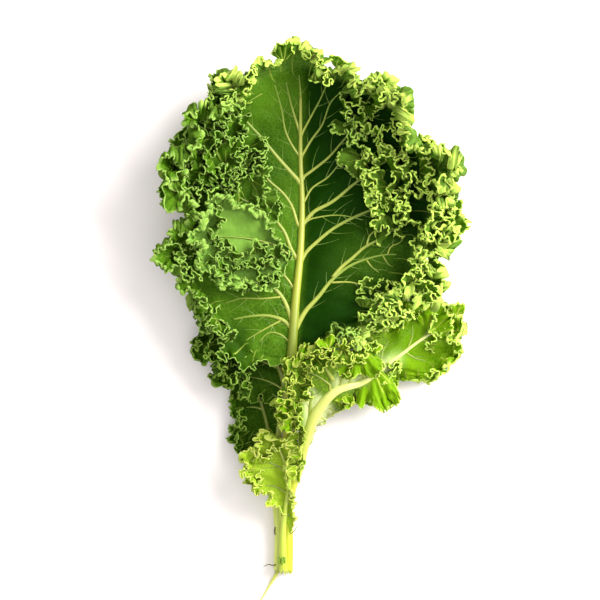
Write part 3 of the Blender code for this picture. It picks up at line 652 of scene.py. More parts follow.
def ruffle(seed, levels, length, width, share, ends):
    """How the strip at one share of its width runs to and fro: along the rim, and to its side.

    Each level of ruffles runs along the line that the coarser ones have made.
    """
    draw = np.random.default_rng(seed)
    along = np.linspace(0.0, length, len(width))
    step = length / (len(along) - 1)
    calm = np.clip(np.minimum(along, length - along) / (ends * levels[0][0]), 0, 1)
    line, stretch, heading = along, np.ones(len(along)), np.zeros(len(along))
    forward, sideways = along.copy(), np.zeros(len(along))
    for wave, swing, onset in levels:
        phase = draw.uniform(0, 2 * math.pi, 4)
        even = 2 * math.pi * line / wave
        turn = even.copy()
        for (amount, slowness), start in zip(LENGTH_DRIFT, phase):
            turn += amount * np.sin(even / slowness + start)
        amount, slowness = SIZE_DRIFT
        size = 1.0 + amount * np.sin(turn / slowness + phase[2])
        grown = max(0.0, (share - onset) / (1.0 - onset))**RUFFLE_GROWTH
        room = np.clip(width / (FULL_WIDTH * wave), 0, 1)
        angle = swing * calm * size * grown * room * np.cos(turn + phase[3])
        reach = int(RUFFLE_SPAN * wave / stretch.mean() / step)
        pace = running_mean(np.cos(angle), reach)
        ahead = np.cumsum((np.cos(angle) / pace - 1.0) * stretch) * step
        aside = np.cumsum(np.sin(angle) / pace * stretch) * step
        ahead = ahead - running_mean(ahead, reach)
        aside = aside - running_mean(aside, reach)
        forward = forward + ahead * np.cos(heading) - aside * np.sin(heading)
        sideways = sideways + ahead * np.sin(heading) + aside * np.cos(heading)
        heading = heading + angle
        stretch = stretch / pace
        line = np.cumsum(stretch) * step
    return forward, sideways


def curled_strip(edge, out, normal, curl, width, share):
    """The strip's line at one share of its width, and the direction square to the strip there."""
    line = edge.copy()
    for step in range(CURL_STEPS):
        turn = (curl * (share * (step + 0.5) / CURL_STEPS)**CURL_GROWTH)[:, None]
        line = line + (out * np.cos(turn) + normal * np.sin(turn)) * (width * share / CURL_STEPS)[:, None]
    turn = (curl * share**CURL_GROWTH)[:, None]
    return line, normal * np.cos(turn) - out * np.sin(turn)


def stalk_girth(leaf, places):
    """Half height of the stalk at places from 0 to 1 along it."""
    cut, base, tip = leaf["girth"]
    return np.interp(places, (0.0, leaf["start"], 1.0), (cut, base, tip))


def stalk_width(leaf, places):
    """Half width of the stalk, which flattens out a little towards the cut."""
    spread = CUT_SPREAD * np.clip(leaf["start"] - places, 0.0, None)
    return stalk_girth(leaf, places) * (1.0 + spread)


def row_triangles(rows):
    """Triangles between neighbouring rows, where the next row may have twice the columns."""
    starts = np.concatenate(([0], np.cumsum([len(row) for row in rows])))
    triangles = []
    for number in range(len(rows) - 1):
        near, far = int(starts[number]), int(starts[number + 1])
        doubled = len(rows[number + 1]) > len(rows[number])
        for column in range(len(rows[number]) - 1):
            here, there = near + column, near + column + 1
            if doubled:
                first = far + 2 * column
                triangles += [(here, first + 1, first), (here, there, first + 1),
                              (there, first + 2, first + 1)]
            elif column % 2:
                first = far + column
                triangles += [(here, first + 1, first), (here, there, first + 1)]
            else:
                first = far + column
                triangles += [(here, there, first), (there, first + 1, first)]
    return triangles


def rim_loop(rows):
    """Point numbers round the sheet's whole edge, in order."""
    starts = np.concatenate(([0], np.cumsum([len(row) for row in rows]))).astype(int)
    first = [int(starts[number]) for number in range(len(rows))]
    last = [int(starts[number + 1]) - 1 for number in range(len(rows))]
    inner = list(range(first[0], last[0] + 1))
    outer = list(range(first[-1], last[-1] + 1))
    return inner + last[1:-1] + outer[::-1] + first[1:-1][::-1]


def add_piece(name, node, points, faces, values, material):
    """A smooth-shaded piece of one leaf, in metres, with a number per point for each named value."""
    mesh = bpy.data.meshes.new(name)
    placed = (points - CENTRE) * MM
    faces = np.asarray(faces, dtype=np.int32)
    sides = faces.shape[1]
    mesh.vertices.add(len(placed))
    mesh.vertices.foreach_set("co", placed.astype(np.float32).ravel())
    mesh.loops.add(faces.size)
    mesh.loops.foreach_set("vertex_index", faces.ravel())
    mesh.polygons.add(len(faces))
    mesh.polygons.foreach_set("loop_start", np.arange(0, faces.size, sides, dtype=np.int32))
    for title, numbers in values.items():
        layer = mesh.attributes.new(title, "FLOAT", "POINT")
        layer.data.foreach_set("value", np.asarray(numbers, dtype=np.float32))
    mesh.update(calc_edges=True)
    mesh.shade_smooth()
    mesh.materials.append(material)
    piece = bpy.data.objects.new(name, mesh)
    bpy.context.scene.collection.objects.link(piece)
    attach(piece, "root")
    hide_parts(node)


def surface_normals(points, triangles):
    corners = points[triangles]
    facing = np.cross(corners[:, 1] - corners[:, 0], corners[:, 2] - corners[:, 0])
    normals = np.zeros_like(points)
    for corner in range(3):
        np.add.at(normals, triangles[:, corner], facing)
    return normals / np.maximum(np.linalg.norm(normals, axis=1, keepdims=True), 1e-9)


def soft_noise(points, scale, seed):
    """Smooth random heights, between about -1 and 1, made of a few slanted waves."""
    draw = np.random.default_rng(seed)
    total = np.zeros(len(points))
    for _ in range(7):
        way = draw.normal(size=3)
        way = way / np.linalg.norm(way) * draw.uniform(0.6, 1.6)
        total += np.sin(points @ way * 2 * math.pi / scale + draw.uniform(0, 2 * math.pi))
    return total / 3.2


def near_ribs(points, ribs):
    """Distance from each point, seen from above, to the nearest rib."""
    nearest = np.full(len(points), 1e9)
    for path in ribs:
        for spot in path:
            gap = np.hypot(points[:, 0] - spot[0], points[:, 1] - spot[1])
            nearest = np.minimum(nearest, gap)
    return nearest


def closed_sheet(points, triangles, loop, thick):
    """Both faces of a sheet and the wall round its edge, from its middle surface."""
    count = len(points)
    half = surface_normals(points, triangles) * thick[:, None] / 2
    both = np.concatenate((points + half, points - half))
    both[:, 2] = np.maximum(both[:, 2], SHEET_FLOOR)
    ahead = np.roll(loop, -1)
    walls = np.concatenate((np.stack((ahead, loop, loop + count), axis=1),
                            np.stack((ahead, loop + count, ahead + count), axis=1)))
    return both, np.concatenate((triangles, triangles[:, ::-1] + count, walls))


def thickness(rim, middle):
    """Sheet thickness: even, and a little swollen along the outer edge."""
    return np.where(rim < 0.5 * EDGE_WIDTH, EDGE_THICKNESS, middle)


def smooth_step(values, low, high):
    """0 below the low value, 1 above the high one, and smooth between."""
    share = np.clip((values - low) / (high - low), 0, 1)
    return share * share * (3 - 2 * share)


def front_zones(points, reach):
    """Painted shade: the front leaf's right half, in the lee of its frill, is painted a deeper green,
    less so round a lit spot on that side, and so are a band of the hollow in the upper left and the
    lower left. Painted light: the frill at the top and towards the light is painted paler.
    """
    x, y = points[:, 0], points[:, 1]
    middle = np.interp(y, (-20, 47, 140), (-14, -9, -9))
    inside = 1 - smooth_step(reach, 1.05, 1.35)
    right = smooth_step(x - middle, -2, 7)
    lit = np.exp(-((x - 42) / 25)**2 - ((y - 40) / 20)**2)
    upper_left = 0.3 * smooth_step(y, 60, 100) * (1 - smooth_step(y, 120, 145)) * (1 - right)
    lower_left = 0.7 * (1 - smooth_step(y, -6, 10)) * smooth_step(-x, 34, 46)
    return {"shade": inside * (right * (1 - 0.6 * lit) + upper_left) + lower_left,
            "pale": 0.1 * (1 - inside) * sunny(x, y)}


def sunny(x, y):
    """The frill at the top and on the side towards the light has brighter edges."""
    return np.maximum(smooth_step(x, 10, 50), smooth_step(y, 130, 146))


def right_zones(points, reach):
    """The right leaf shows its pale underside near the stalk, and its upper face at the end."""
    x, y = points[:, 0], points[:, 1]
    turned = 1 - smooth_step(x, 40, 52)
    stalk_side = smooth_step(-y - 0.9 * x, 36, 44) * smooth_step(x, -9, -4)
    band = np.exp(-((y - np.interp(x, (10, 60), (-36, -19))) / 5)**2)
    band = band * smooth_step(x, 8, 14) * (1 - smooth_step(x, 48, 58))
    dark = smooth_step(x, 44, 52) * smooth_step(y, -22, -13) * (1 - smooth_step(x, 70, 77))
    return {"shade": 0.35 * dark, "pale": np.maximum(0.9 * stalk_side * turned, 0.7 * band),
            "turned": turned}


def lobe_zones(points, reach):
    """Painted light: the lobe hangs in the light and is painted a little paler all over."""
    return {"pale": np.full(len(points), LOBE_PAINTED_LIGHT)}


ZONES = {"leaf_front": front_zones, "leaf_front_lobe": lobe_zones, "leaf_right": right_zones}


def add_blade(title, node, blade, ribs):
    """The fine closed sheet of one blade, quilted between its ribs.

    Its hollow alone and the whole of it come back as surfaces that rays can meet.
    """
    rows = blade.rows()
    reach = np.concatenate([np.full(len(row), share) for row, share in rows])
    spots = np.concatenate([np.linspace(0, 1, len(row)) for row, share in rows])
    rows = [row for row, _ in rows]
    points = np.concatenate(rows)
    triangles = np.array(row_triangles(rows))
    gap = near_ribs(points, ribs + [smooth_curve(blade.leaf["stalk"], STALK_SAMPLES)])
    flat = np.clip((BULGE_END - reach) / BULGE_FADE, 0, 1)
    puff = BULGE_HEIGHT * (1 - np.exp(-(gap / BULGE_REACH)**2)) * flat - RIB_DEPTH * flat
    away = 1 - np.exp(-(gap / SWELL_REACH)**2)
    puff += (SWELLS[0] * soft_noise(points, SWELLS[1], 1) * flat * away
             + BUMPS[0] * soft_noise(points, BUMPS[1], 2))
    points = points + surface_normals(points, triangles) * puff[:, None]
    points[:, 2] = np.maximum(points[:, 2], BLADE_THICKNESS / 2)
    width = np.interp(spots, RIM_PLACES, blade.width)
    rim = np.where(reach > 1.0, (2.0 - reach) * width, INSIDE)
    both, faces = closed_sheet(points, triangles, np.array(rim_loop(rows)),
                               thickness(rim, BLADE_THICKNESS))
    zone = {value: np.zeros(len(points)) for value in ("shade", "pale", "turned")}
    if title in ZONES:
        zone.update(ZONES[title](points, reach))
    values = {"reach": np.tile(reach, 2), "rim": np.tile(rim, 2),
              "gap": np.tile(frill_gap(blade, spots, reach), 2),
              "under": np.concatenate((zone["turned"], 1 - zone["turned"])),
              "shade": np.tile(zone["shade"], 2), "pale": np.tile(zone["pale"], 2),
              "lit": np.tile(sunny(points[:, 0], points[:, 1]), 2)}
    add_piece(title + "_blade", node, both, faces, values, skins[node])
    inner = blade.fine["inner"] * (blade.fine["columns"] + 1)
    corners = points.tolist()
    hollow = BVHTree.FromPolygons(corners, triangles[(triangles < inner).all(axis=1)].tolist())
    return hollow, BVHTree.FromPolygons(corners, triangles.tolist())


def frill_gap(blade, spots, reach):
    """Distance to the nearest of the thin veins that run up the frill, and far from them inside."""
    count = int(blade.length / FRILL_VEIN_STEP)
    draw = np.random.default_rng(blade.leaf["seed"] + 9)
    veins = (np.arange(count) + draw.uniform(0.25, 0.75, count)) / count
    nearest = np.abs(spots[:, None] - veins[None, :]).min(axis=1) * blade.length
    first, last = FRILL_VEIN_REACH
    before, after = FRILL_VEIN_FADE
    return nearest + before * np.clip(first - reach, 0, 1) + after * np.clip(reach - last, 0, 1)


def fold_rows(fold):
    """Rows of points of one small frilled fold, with the share of the way out and vein distance."""
    draw = np.random.default_rng(fold["seed"])
    aim, lean, length, opening = fold["aim"], fold["lean"], fold["length"], fold["opening"]
    ahead = np.array((math.cos(aim) * math.sin(lean), math.sin(aim) * math.sin(lean), math.cos(lean)))
    side = np.array((-math.sin(aim), math.cos(aim), 0.0))
    face = np.cross(side, ahead)
    root_width = FOLD_ROOT * length
    total = root_width + opening * length
    phase = draw.uniform(0, 2 * math.pi, 2)
    veins = (np.arange(FOLD_VEINS) + draw.uniform(0.3, 0.7, FOLD_VEINS)) / FOLD_VEINS
    grid = np.linspace(0, 1, FOLD_SAMPLES)
    room = np.full(FOLD_SAMPLES, length)
    rows, reach, gaps = [], [], []
    rise, across, last = 0.0, 0.0, 0.0
    for columns, share in frill_rows(FOLD_COLUMNS, FOLD_ROWS, length):
        bend = fold["curl"] * share**FOLD_CURL_GROWTH
        rise += math.cos(bend) * (share - last)
        across += math.sin(bend) * (share - last)
        last = share
        spots = np.linspace(0, 1, columns + 1)
        forward, sideways = ruffle(fold["seed"], FOLD_RUFFLES, total, room, share, FOLD_CALM_END)
        place = np.clip(np.interp(spots, grid, forward) / total, 0, 1)
        angle = (opening * (place - 0.5))[:, None]
        waves = sum(size * np.sin(turns * place + start)
                    for (turns, size), start in zip(FOLD_WAVES, phase))
        spread = 1 + share * waves
        spread = spread + bite(share) * FOLD_TOOTH * np.abs(np.sin(FOLD_TEETH * place + phase[0]))
        spread = (spread * (1 - FOLD_ROUNDING * np.abs(2 * place - 1)**3))[:, None]
        way = np.cos(angle) * ahead + np.sin(angle) * side
        lift = math.cos(bend) * face - math.sin(bend) * way
        scale = (root_width + opening * length * rise) / total
        rows.append(fold["root"] + side * (root_width * (place - 0.5))[:, None]
                    + way * spread * length * rise + face * length * across
                    + lift * (np.interp(spots, grid, sideways) * scale)[:, None])
        reach.append(np.full(len(spots), 1.0 + share))
        near = np.abs(place[:, None] - veins[None, :]).min(axis=1)
        gaps.append(near * total * scale + 3 * max(0.0, share - FOLD_VEIN_END))
    return rows, np.concatenate(reach), np.concatenate(gaps)


def band_folds(band, hollow, whole, seed):
    """Folds spread evenly over a band, each with its root on the blade."""
    draw = np.random.default_rng(seed)
    inner, outer, shortest, longest = band
    places = np.linspace(0, 1, BAND_SAMPLES)
    inner, outer = pick(plan_curve(inner, 1.0), places), pick(plan_curve(outer, 1.0), places)
    rings = max(1, round(np.linalg.norm(outer - inner, axis=1).mean() / FOLD_STEP))
    folds = []
    for ring in range(rings):
        across = (ring + 0.5) / rings
        line = inner * (1 - across) + outer * across
        run = np.linalg.norm(np.diff(line, axis=0), axis=1).sum()
        count = max(1, round(run / FOLD_STEP))
        for number in range(count):
            stray = draw.uniform(-FOLD_STRAY[0], FOLD_STRAY[0])
            place = np.array([(number + 0.5 + stray) / count])
            spot = pick(line, place)[0] + draw.normal(0, FOLD_STRAY[1], 2)
            outward = pick(outer - inner, place)[0]
            lean = math.radians((2 * across - 1) * FOLD_LEAN[0] + draw.normal(0, FOLD_LEAN[1]))
            back = -1.0 if draw.uniform() < CURLED_BACK else 1.0
            folds.append({
                "root": fold_root(hollow, whole, spot),
                "aim": math.atan2(outward[1], outward[0]) + draw.normal(0, FOLD_AIM_SPREAD),
                "lean": lean,
                "length": draw.uniform(shortest, longest),
                "opening": draw.uniform(*FOLD_OPENING),
                "curl": -back * math.copysign(draw.uniform(*FOLD_CURL), lean),
                "seed": int(draw.integers(1, 100000)),
            })
    return folds


def fold_root(hollow, whole, spot):
    """A place just inside the blade's surface, above or below the spot or else nearest to it."""
    hit = hollow.ray_cast(Vector((*spot, ABOVE)), Vector((0, 0, -1)))[0]
    if hit is None:
        hit = whole.find_nearest(Vector((*spot, 30.0)))[0]
    return np.array(hit) - (0, 0, FOLD_DEPTH)


def single_folds(rows, hollow, whole, seed):
    """The folds of a table of (x, y, aim, lean, length, opening, curl)."""
    return [{"root": fold_root(hollow, whole, (x, y)), "aim": math.radians(aim),
             "lean": math.radians(lean), "length": length, "opening": opening, "curl": curl,
             "seed": seed + number}
            for number, (x, y, aim, lean, length, opening, curl) in enumerate(rows)]


def all_folds(title, leaf, hollow, whole):
    """A blade's folds, first those of its bands and then the single ones."""
    folds = []
    for number, band in enumerate(FOLD_BANDS[title]):
        folds += band_folds(band, hollow, whole, leaf["seed"] * 30 + number)
    return folds + single_folds(SINGLE_FOLDS.get(title, []), hollow, whole, leaf["seed"] * 70)


def add_folds(title, node, folds):
    """The given folds of a leaf as one piece."""
    sheets, faces = [], []
    columns = {value: [] for value in ("reach", "rim", "gap", "under", "shade", "lit")}
    start = 0
    for fold in folds:
        rows, reach, gap = fold_rows(fold)
        rim = (2.0 - reach) * fold["length"]
        points = np.concatenate(rows)
        points[:, 2] = np.maximum(points[:, 2], FOLD_FLOOR)
        sheet, skin = closed_sheet(points, np.array(row_triangles(rows)), np.array(rim_loop(rows)),
                                   thickness(rim, FOLD_THICKNESS))
        sheets.append(sheet)
        faces.append(skin + start)
        start += len(sheet)
        # Painted shade: each fold is painted darker by a random amount, fully left of X = 0 and not at all
        # from X = 40 on, so the side away from the light is darker.
        deeper = np.random.default_rng(fold["seed"]).uniform(*FOLD_PAINTED_SHADE)
        shade = deeper * (1 - smooth_step(fold["root"][0], 0, 40))
        for value, numbers in (("reach", np.tile(reach, 2)), ("rim", np.tile(rim, 2)),
                               ("gap", np.tile(gap, 2)), ("under", np.repeat((1.0, 0.0), len(points))),
                               ("shade", np.full(len(sheet), shade)),
                               ("lit", np.full(len(sheet), sunny(*fold["root"][:2])))):
            columns[value].append(numbers)
    values = {value: np.concatenate(numbers) for value, numbers in columns.items()}
    add_piece(title, node, np.concatenate(sheets), np.concatenate(faces), values, skins[node])


def tube_mesh(paths, sides):
    """Points, triangles and a 0 to 1 place along for tubes of (points, half widths and heights)."""
    all_points, all_faces, places = [], [], []
    start = 0
    for path, half, high in paths:
        count = len(path)
        ahead = unit(np.gradient(path, axis=0))
        side = unit(np.cross(ahead, (0.02, 0.01, 1.0)))
        rise = np.cross(side, ahead)
        ring = []
        for number in range(sides):
            turn = 2 * math.pi * number / sides
            ring.append(path + side * math.cos(turn) * half[:, None]
                        + rise * math.sin(turn) * high[:, None])
        points = np.concatenate((np.stack(ring, axis=1).reshape(-1, 3), path[:1], path[-1:]))
        here = np.arange(count - 1)[:, None] * sides
        number = np.arange(sides)[None, :]
        nearby = (number + 1) % sides
        low, high = here + number, here + nearby
        faces = [np.stack((low, high, high + sides), axis=-1).reshape(-1, 3),
                 np.stack((low, high + sides, low + sides), axis=-1).reshape(-1, 3)]
        last = (count - 1) * sides
        number, nearby = number.ravel(), nearby.ravel()
        ends = np.full(sides, count * sides)
        faces.append(np.stack((nearby, number, ends), axis=1))
        faces.append(np.stack((last + number, last + nearby, ends + 1), axis=1))
        all_points.append(points)
        all_faces.append(np.concatenate(faces) + start)
        places.append(np.concatenate((np.repeat(np.linspace(0, 1, count), sides), (0.0, 1.0))))
        start += len(points)
    return np.concatenate(all_points), np.concatenate(all_faces), np.concatenate(places)


def laid_on(ground, path, lift):
    """The path's points set on the blade below them, or left out where no blade is near."""
    laid = []
    for x, y in path:
        spot = ground.ray_cast(Vector((x, y, ABOVE)), Vector((0, 0, -1)))[0]
        if spot is None and laid == []:
            near = ground.find_nearest(Vector((x, y, 15.0)))[0]
            if math.hypot(near.x - x, near.y - y) < NEAR_BLADE:
                spot = near
        if spot is not None:
            laid.append((x, y, spot.z + lift))
    return np.array(laid)


def from_midrib(spine, laid):
    """The laid rib with a foot in the midrib, where it starts close to it."""
    if len(laid) < 4:
        return laid
    gaps = np.linalg.norm(spine[:, :2] - laid[0, :2], axis=1)
    nearest = int(np.argmin(gaps))
    if gaps[nearest] > NEAR_MIDRIB:
        return laid
    foot = spine[max(0, nearest - 3)] + (0.0, 0.0, 0.2)
    start = np.linspace(foot, laid[0], 5)[:-1]
    return np.concatenate((start, laid))


def plan_curve(points, step):
    """A smooth curve in plan through the points, with a point about every step."""
    rows = [(x, y, 0.0) for x, y in points]
    length = sum(math.dist(a, b) for a, b in zip(points, points[1:]))
    return smooth_curve(rows, max(4, int(length / step)))[:, :2]


def rib_branches(path, seed):
    """Finer ribs that leave a side rib to both sides and bend along with it."""
    draw = np.random.default_rng(seed)
    branches = []
    lengths = np.concatenate(([0.0], np.cumsum(np.linalg.norm(np.diff(path, axis=0), axis=1))))
    place = draw.uniform(*BRANCH_FIRST)
    hand = 1.0
    while place < lengths[-1] - BRANCH_END:
        index = int(np.searchsorted(lengths, place))
        ahead = unit(path[index] - path[index - 1])
        turn = hand * math.radians(draw.uniform(*BRANCH_ANGLE))
        reach = draw.uniform(*BRANCH_LENGTH)
        spot = path[index]
        branch = [tuple(spot)]
        for _ in range(BRANCH_STEPS):
            turn *= BRANCH_BEND
            way = np.array((ahead[0] * math.cos(turn) - ahead[1] * math.sin(turn),
                            ahead[0] * math.sin(turn) + ahead[1] * math.cos(turn)))
            spot = spot + way * reach / BRANCH_STEPS
            branch.append(tuple(spot))
        branches.append(branch)
        hand = -hand
        place += draw.uniform(*BRANCH_STEP)
    return branches


def adjust(node, settings):
    """Set a node's inputs by their titles."""
    for title, value in settings.items():
        node.inputs[title].default_value = value


def principled(name, colour, roughness):
    """A new material with its node tree and its shader."""
    material = bpy.data.materials.new(name)
    material.use_nodes = True
    shader = material.node_tree.nodes["Principled BSDF"]
    adjust(shader, {"Base Color": (*colour, 1.0), "Roughness": roughness})
    return material, material.node_tree, shader


def value_node(tree, title):
    """One of the numbers that the points of a piece carry."""
    node = tree.nodes.new("ShaderNodeAttribute")
    node.attribute_name = title
    return node.outputs["Fac"]


def blend_colours(tree, amount, first, second):
    """A colour between the two, each a plain colour or another node's output."""
    node = tree.nodes.new("ShaderNodeMix")
    node.data_type = "RGBA"
    for socket, colour in ((node.inputs[6], first), (node.inputs[7], second)):
        if isinstance(colour, tuple):
            socket.default_value = (*colour, 1.0)
        else:
            tree.links.new(colour, socket)
    tree.links.new(amount, node.inputs[0])
    return node.outputs[2]


def arithmetic(tree, operation, first, second):
    """One number worked out from another and a third, which may be a plain number."""
    node = tree.nodes.new("ShaderNodeMath")
    node.operation = operation
    tree.links.new(first, node.inputs[0])
    if isinstance(second, float):
        node.inputs[1].default_value = second
    else:
        tree.links.new(second, node.inputs[1])
    return node.outputs[0]


def ramp(tree, value, low, high):
    """0 below the low value, 1 above the high one, and smooth between."""
    node = tree.nodes.new("ShaderNodeMapRange")
    node.interpolation_type = "SMOOTHSTEP"
    tree.links.new(value, node.inputs["Value"])
    adjust(node, {"From Min": low, "From Max": high})
    return node.outputs["Result"]


def noise(tree, scale, stretch=(1.0, 1.0, 1.0)):
    """Smooth random numbers between 0 and 1, this many bumps a metre before the stretch."""
    place = tree.nodes.new("ShaderNodeTexCoord")
    mapping = tree.nodes.new("ShaderNodeMapping")
    adjust(mapping, {"Scale": stretch})
    tree.links.new(place.outputs["Object"], mapping.inputs["Vector"])
    node = tree.nodes.new("ShaderNodeTexNoise")
    adjust(node, {"Scale": scale, "Detail": 3.0})
    tree.links.new(mapping.outputs["Vector"], node.inputs["Vector"])
    return node.outputs["Fac"]


def cells(tree, scale):
    """Distance to the border between irregular cells, for the net of the finest veins."""
    place = tree.nodes.new("ShaderNodeTexCoord")
    node = tree.nodes.new("ShaderNodeTexVoronoi")
    node.feature = "DISTANCE_TO_EDGE"
    adjust(node, {"Scale": scale})
    tree.links.new(place.outputs["Object"], node.inputs["Vector"])
    return node.outputs["Distance"]


def mixed(first, amount, second):
    """A plain colour with this amount of the first one and the rest of the second."""
    return tuple(amount * a + (1.0 - amount) * b for a, b in zip(first, second))


def leaf_material(name, deep, light, under, vein, edge, pale):
    """Leaf tissue: deep green in the hollow, lighter in the frill, pale along veins and edge."""
    material, tree, shader = principled(name, light, 0.5)
    patches = ramp(tree, noise(tree, 45.0), 0.3, 0.7)
    colour = blend_colours(tree, patches, deep, light)
    colour = blend_colours(tree, ramp(tree, value_node(tree, "reach"), 1.0, 1.9), colour, light)
    backs = arithmetic(tree, "MULTIPLY", value_node(tree, "under"), 0.8)
    colour = blend_colours(tree, backs, colour, under)
    net = ramp(tree, cells(tree, 420.0), 0.0, 0.12)
    colour = blend_colours(tree, net, mixed(vein, 0.16, light), colour)
    # Painted shade: the shade value darkens the colour towards a share of the deepest green.
    shaded = tuple(channel * left for channel, left in zip(deep, SHADE_TINT))
    colour = blend_colours(tree, value_node(tree, "shade"), colour, shaded)
    # The pale value gives the pale colour, where the leaf is pale and also as painted light.
    colour = blend_colours(tree, value_node(tree, "pale"), colour, pale)
    colour = blend_colours(tree, ramp(tree, value_node(tree, "gap"), 0.2, 0.55), vein, colour)
    # Painted light: frill edges towards the light are painted brighter and a little wider.
    lit = value_node(tree, "lit")
    wider = arithmetic(tree, "MULTIPLY", lit, 0.25)
    rim = arithmetic(tree, "SUBTRACT", value_node(tree, "rim"), wider)
    edges = blend_colours(tree, lit, edge, LIT_EDGE)
    colour = blend_colours(tree, ramp(tree, rim, 0.05, 0.45), edges, colour)
    tree.links.new(colour, shader.inputs["Base Color"])
    adjust(shader, {"Specular IOR Level": 0.03, "Subsurface Weight": 0.3,
                    "Subsurface Radius": (0.5, 1.0, 0.2), "Subsurface Scale": 0.001})
    bump = tree.nodes.new("ShaderNodeBump")
    adjust(bump, {"Strength": 0.25, "Distance": 0.0003})
    tree.links.new(net, bump.inputs["Height"])
    tree.links.new(bump.outputs["Normal"], shader.inputs["Normal"])
    return material


def rib_material(name, start, end):
    """Ribs: paler where they are thick, greener where they run out, with fine streaks along them."""
    material, tree, shader = principled(name, start, 0.38)
    streaks = ramp(tree, noise(tree, 1.0, (900.0, 40.0, 900.0)), 0.35, 0.75)
    streaked = blend_colours(tree, streaks, start, mixed(start, 0.6, end))
    colour = blend_colours(tree, ramp(tree, value_node(tree, "along"), 0.0, 1.0), streaked, end)
    # Painted shade: the shade value darkens the rib towards RIB_SHADE.
    colour = blend_colours(tree, value_node(tree, "shade"), colour, RIB_SHADE)
    tree.links.new(colour, shader.inputs["Base Color"])
    adjust(shader, {"Subsurface Weight": 0.3, "Subsurface Radius": (1.0, 1.0, 0.3),
                    "Subsurface Scale": 0.002})
    return material


skins = {
    "leaf_front": leaf_material("dark_leaf", *DARK_LEAF),
    "leaf_left": leaf_material("back_leaf", *BACK_LEAF),
    "leaf_left_low": leaf_material("low_leaf", *BACK_LEAF),
    "leaf_right": leaf_material("right_leaf", *RIGHT_LEAF),
    "leaf_small_front": leaf_material("small_leaf", *SMALL_LEAF),
}
stalk_skins = {
    "leaf_front": rib_material("stalk_yellow", *FRONT_STALK),
    "leaf_left": rib_material("stalk_pale", *PALE_STALK),
    "leaf_left_low": rib_material("stalk_low", *PALE_STALK),
    "leaf_right": rib_material("stalk_right", *RIGHT_STALK),
    "leaf_small_front": rib_material("stalk_green", *SMALL_STALK),
}
rib_skin = rib_material("rib_skin", *RIB)
vein_skin = rib_material("vein_skin", *VEIN)
scar_skin = rib_material("scar_skin", *SCAR)
torn_skin = rib_material("torn_skin", *TORN)

# Torn fibres and scars on the stalks: name, points, half widths at both ends, skin.
FIBRES = [
    ("torn_fibre", LEAVES["leaf_left_low"]["strands"][0], 1.2, 0.4, stalk_skins["leaf_right"]),
    ("torn_hair", [(-23, -149, 8), (-26, -150, 8.5), (-29, -149.5, 8), (-32, -151, 6.5)], 0.5, 0.2,
     scar_skin),
    ("torn_end", [(-21.8, -144.3, 12.7), (-22, -146, 13), (-22.2, -148.6, 12.3)], 0.9, 0.6, torn_skin),
    ("torn_end_middle", [(-20.4, -144.8, 13.5), (-20.3, -146.5, 13.8), (-20.6, -149, 13.2)], 1.0, 0.7,
     torn_skin),
    ("torn_end_right", [(-19, -144.2, 13.2), (-18.9, -146, 13.5), (-18.6, -147.9, 12.9)], 1.0, 0.6,
     torn_skin),
    ("scar", [(-24.6, -126, 8), (-25.2, -128.5, 8), (-24.8, -131, 8)], 0.7, 0.5, scar_skin),
    ("side_hair", [(-15, -130, 9.5), (-12.5, -128, 10), (-11.5, -126, 10.5), (-10, -124, 11)], 0.4,
     0.15, scar_skin),
]


def hump(values, middle, spread, height):
    """A smooth hump, this high at its middle."""
    return height * np.exp(-((values - middle) / spread)**2)


def add_tubes(title, node, tubes, sides, skin, on_table=True, dimmed=NO_HUMP):
    """One piece of tubes, which may be cut flat by the table top and dimmed at a place along Y."""
    points, faces, along = tube_mesh(tubes, sides)
    if on_table:
        points[:, 2] = np.maximum(points[:, 2], 0.0)
    values = {"along": along, "shade": hump(points[:, 1], *dimmed)}
    add_piece(title, node, points, faces, values, skin)


def add_stalk(name, leaf):
    """The stalk and midrib of a leaf."""
    places = np.linspace(0, 1, STALK_STEPS)
    width = stalk_width(leaf, places) * (1 + hump(places, *FLARES.get(name, NO_HUMP)))
    tube = (smooth_curve(leaf["stalk"], STALK_STEPS), width, stalk_girth(leaf, places))
    add_tubes(name + "_stalk", name, [tube], STALK_SIDES, stalk_skins[name],
              dimmed=DIMMED.get(name, NO_HUMP))


def own_ribs(blade):
    """Side ribs of a small leaf, spread round its rim, each with its half widths."""
    count = max(FEWEST_RIBS, int(blade.length / RIB_SPACING))
    ribs = []
    for spot in (np.arange(count) + 0.5) / count:
        line = blade.rib(spot, OWN_RIB_POINTS)[:, :2]
        ribs.append(([tuple(point) for point in line], *OWN_RIB_WIDTHS))
    return ribs


def add_ribs(name, leaf, ribs, plans, hollow):
    """The side ribs of a leaf and the veins that leave them, laid on its blade."""
    thick, thin = [], []
    spine = smooth_curve(leaf["stalk"], STALK_SAMPLES)
    for number, (plan, (_, first, last)) in enumerate(zip(plans, ribs)):
        laid = from_midrib(spine, laid_on(hollow, plan, RIB_LIFT))
        if len(laid) > 3:
            half = RIB_SCALE * np.linspace(first, last, len(laid))
            thick.append((laid, half, RIB_FLATNESS * half))
        for branch in rib_branches(plan, leaf["seed"] * 50 + number):
            fine = laid_on(hollow, plan_curve(branch, RIB_STEP), VEIN_LIFT)
            if len(fine) > 3:
                half = np.linspace(*VEIN_WIDTHS, len(fine))
                thin.append((fine, half, half))
    for title, tubes, skin in (("_ribs", thick, rib_skin), ("_veins", thin, vein_skin)):
        add_tubes(name + title, name, tubes, RIB_SIDES, skin, on_table=False)


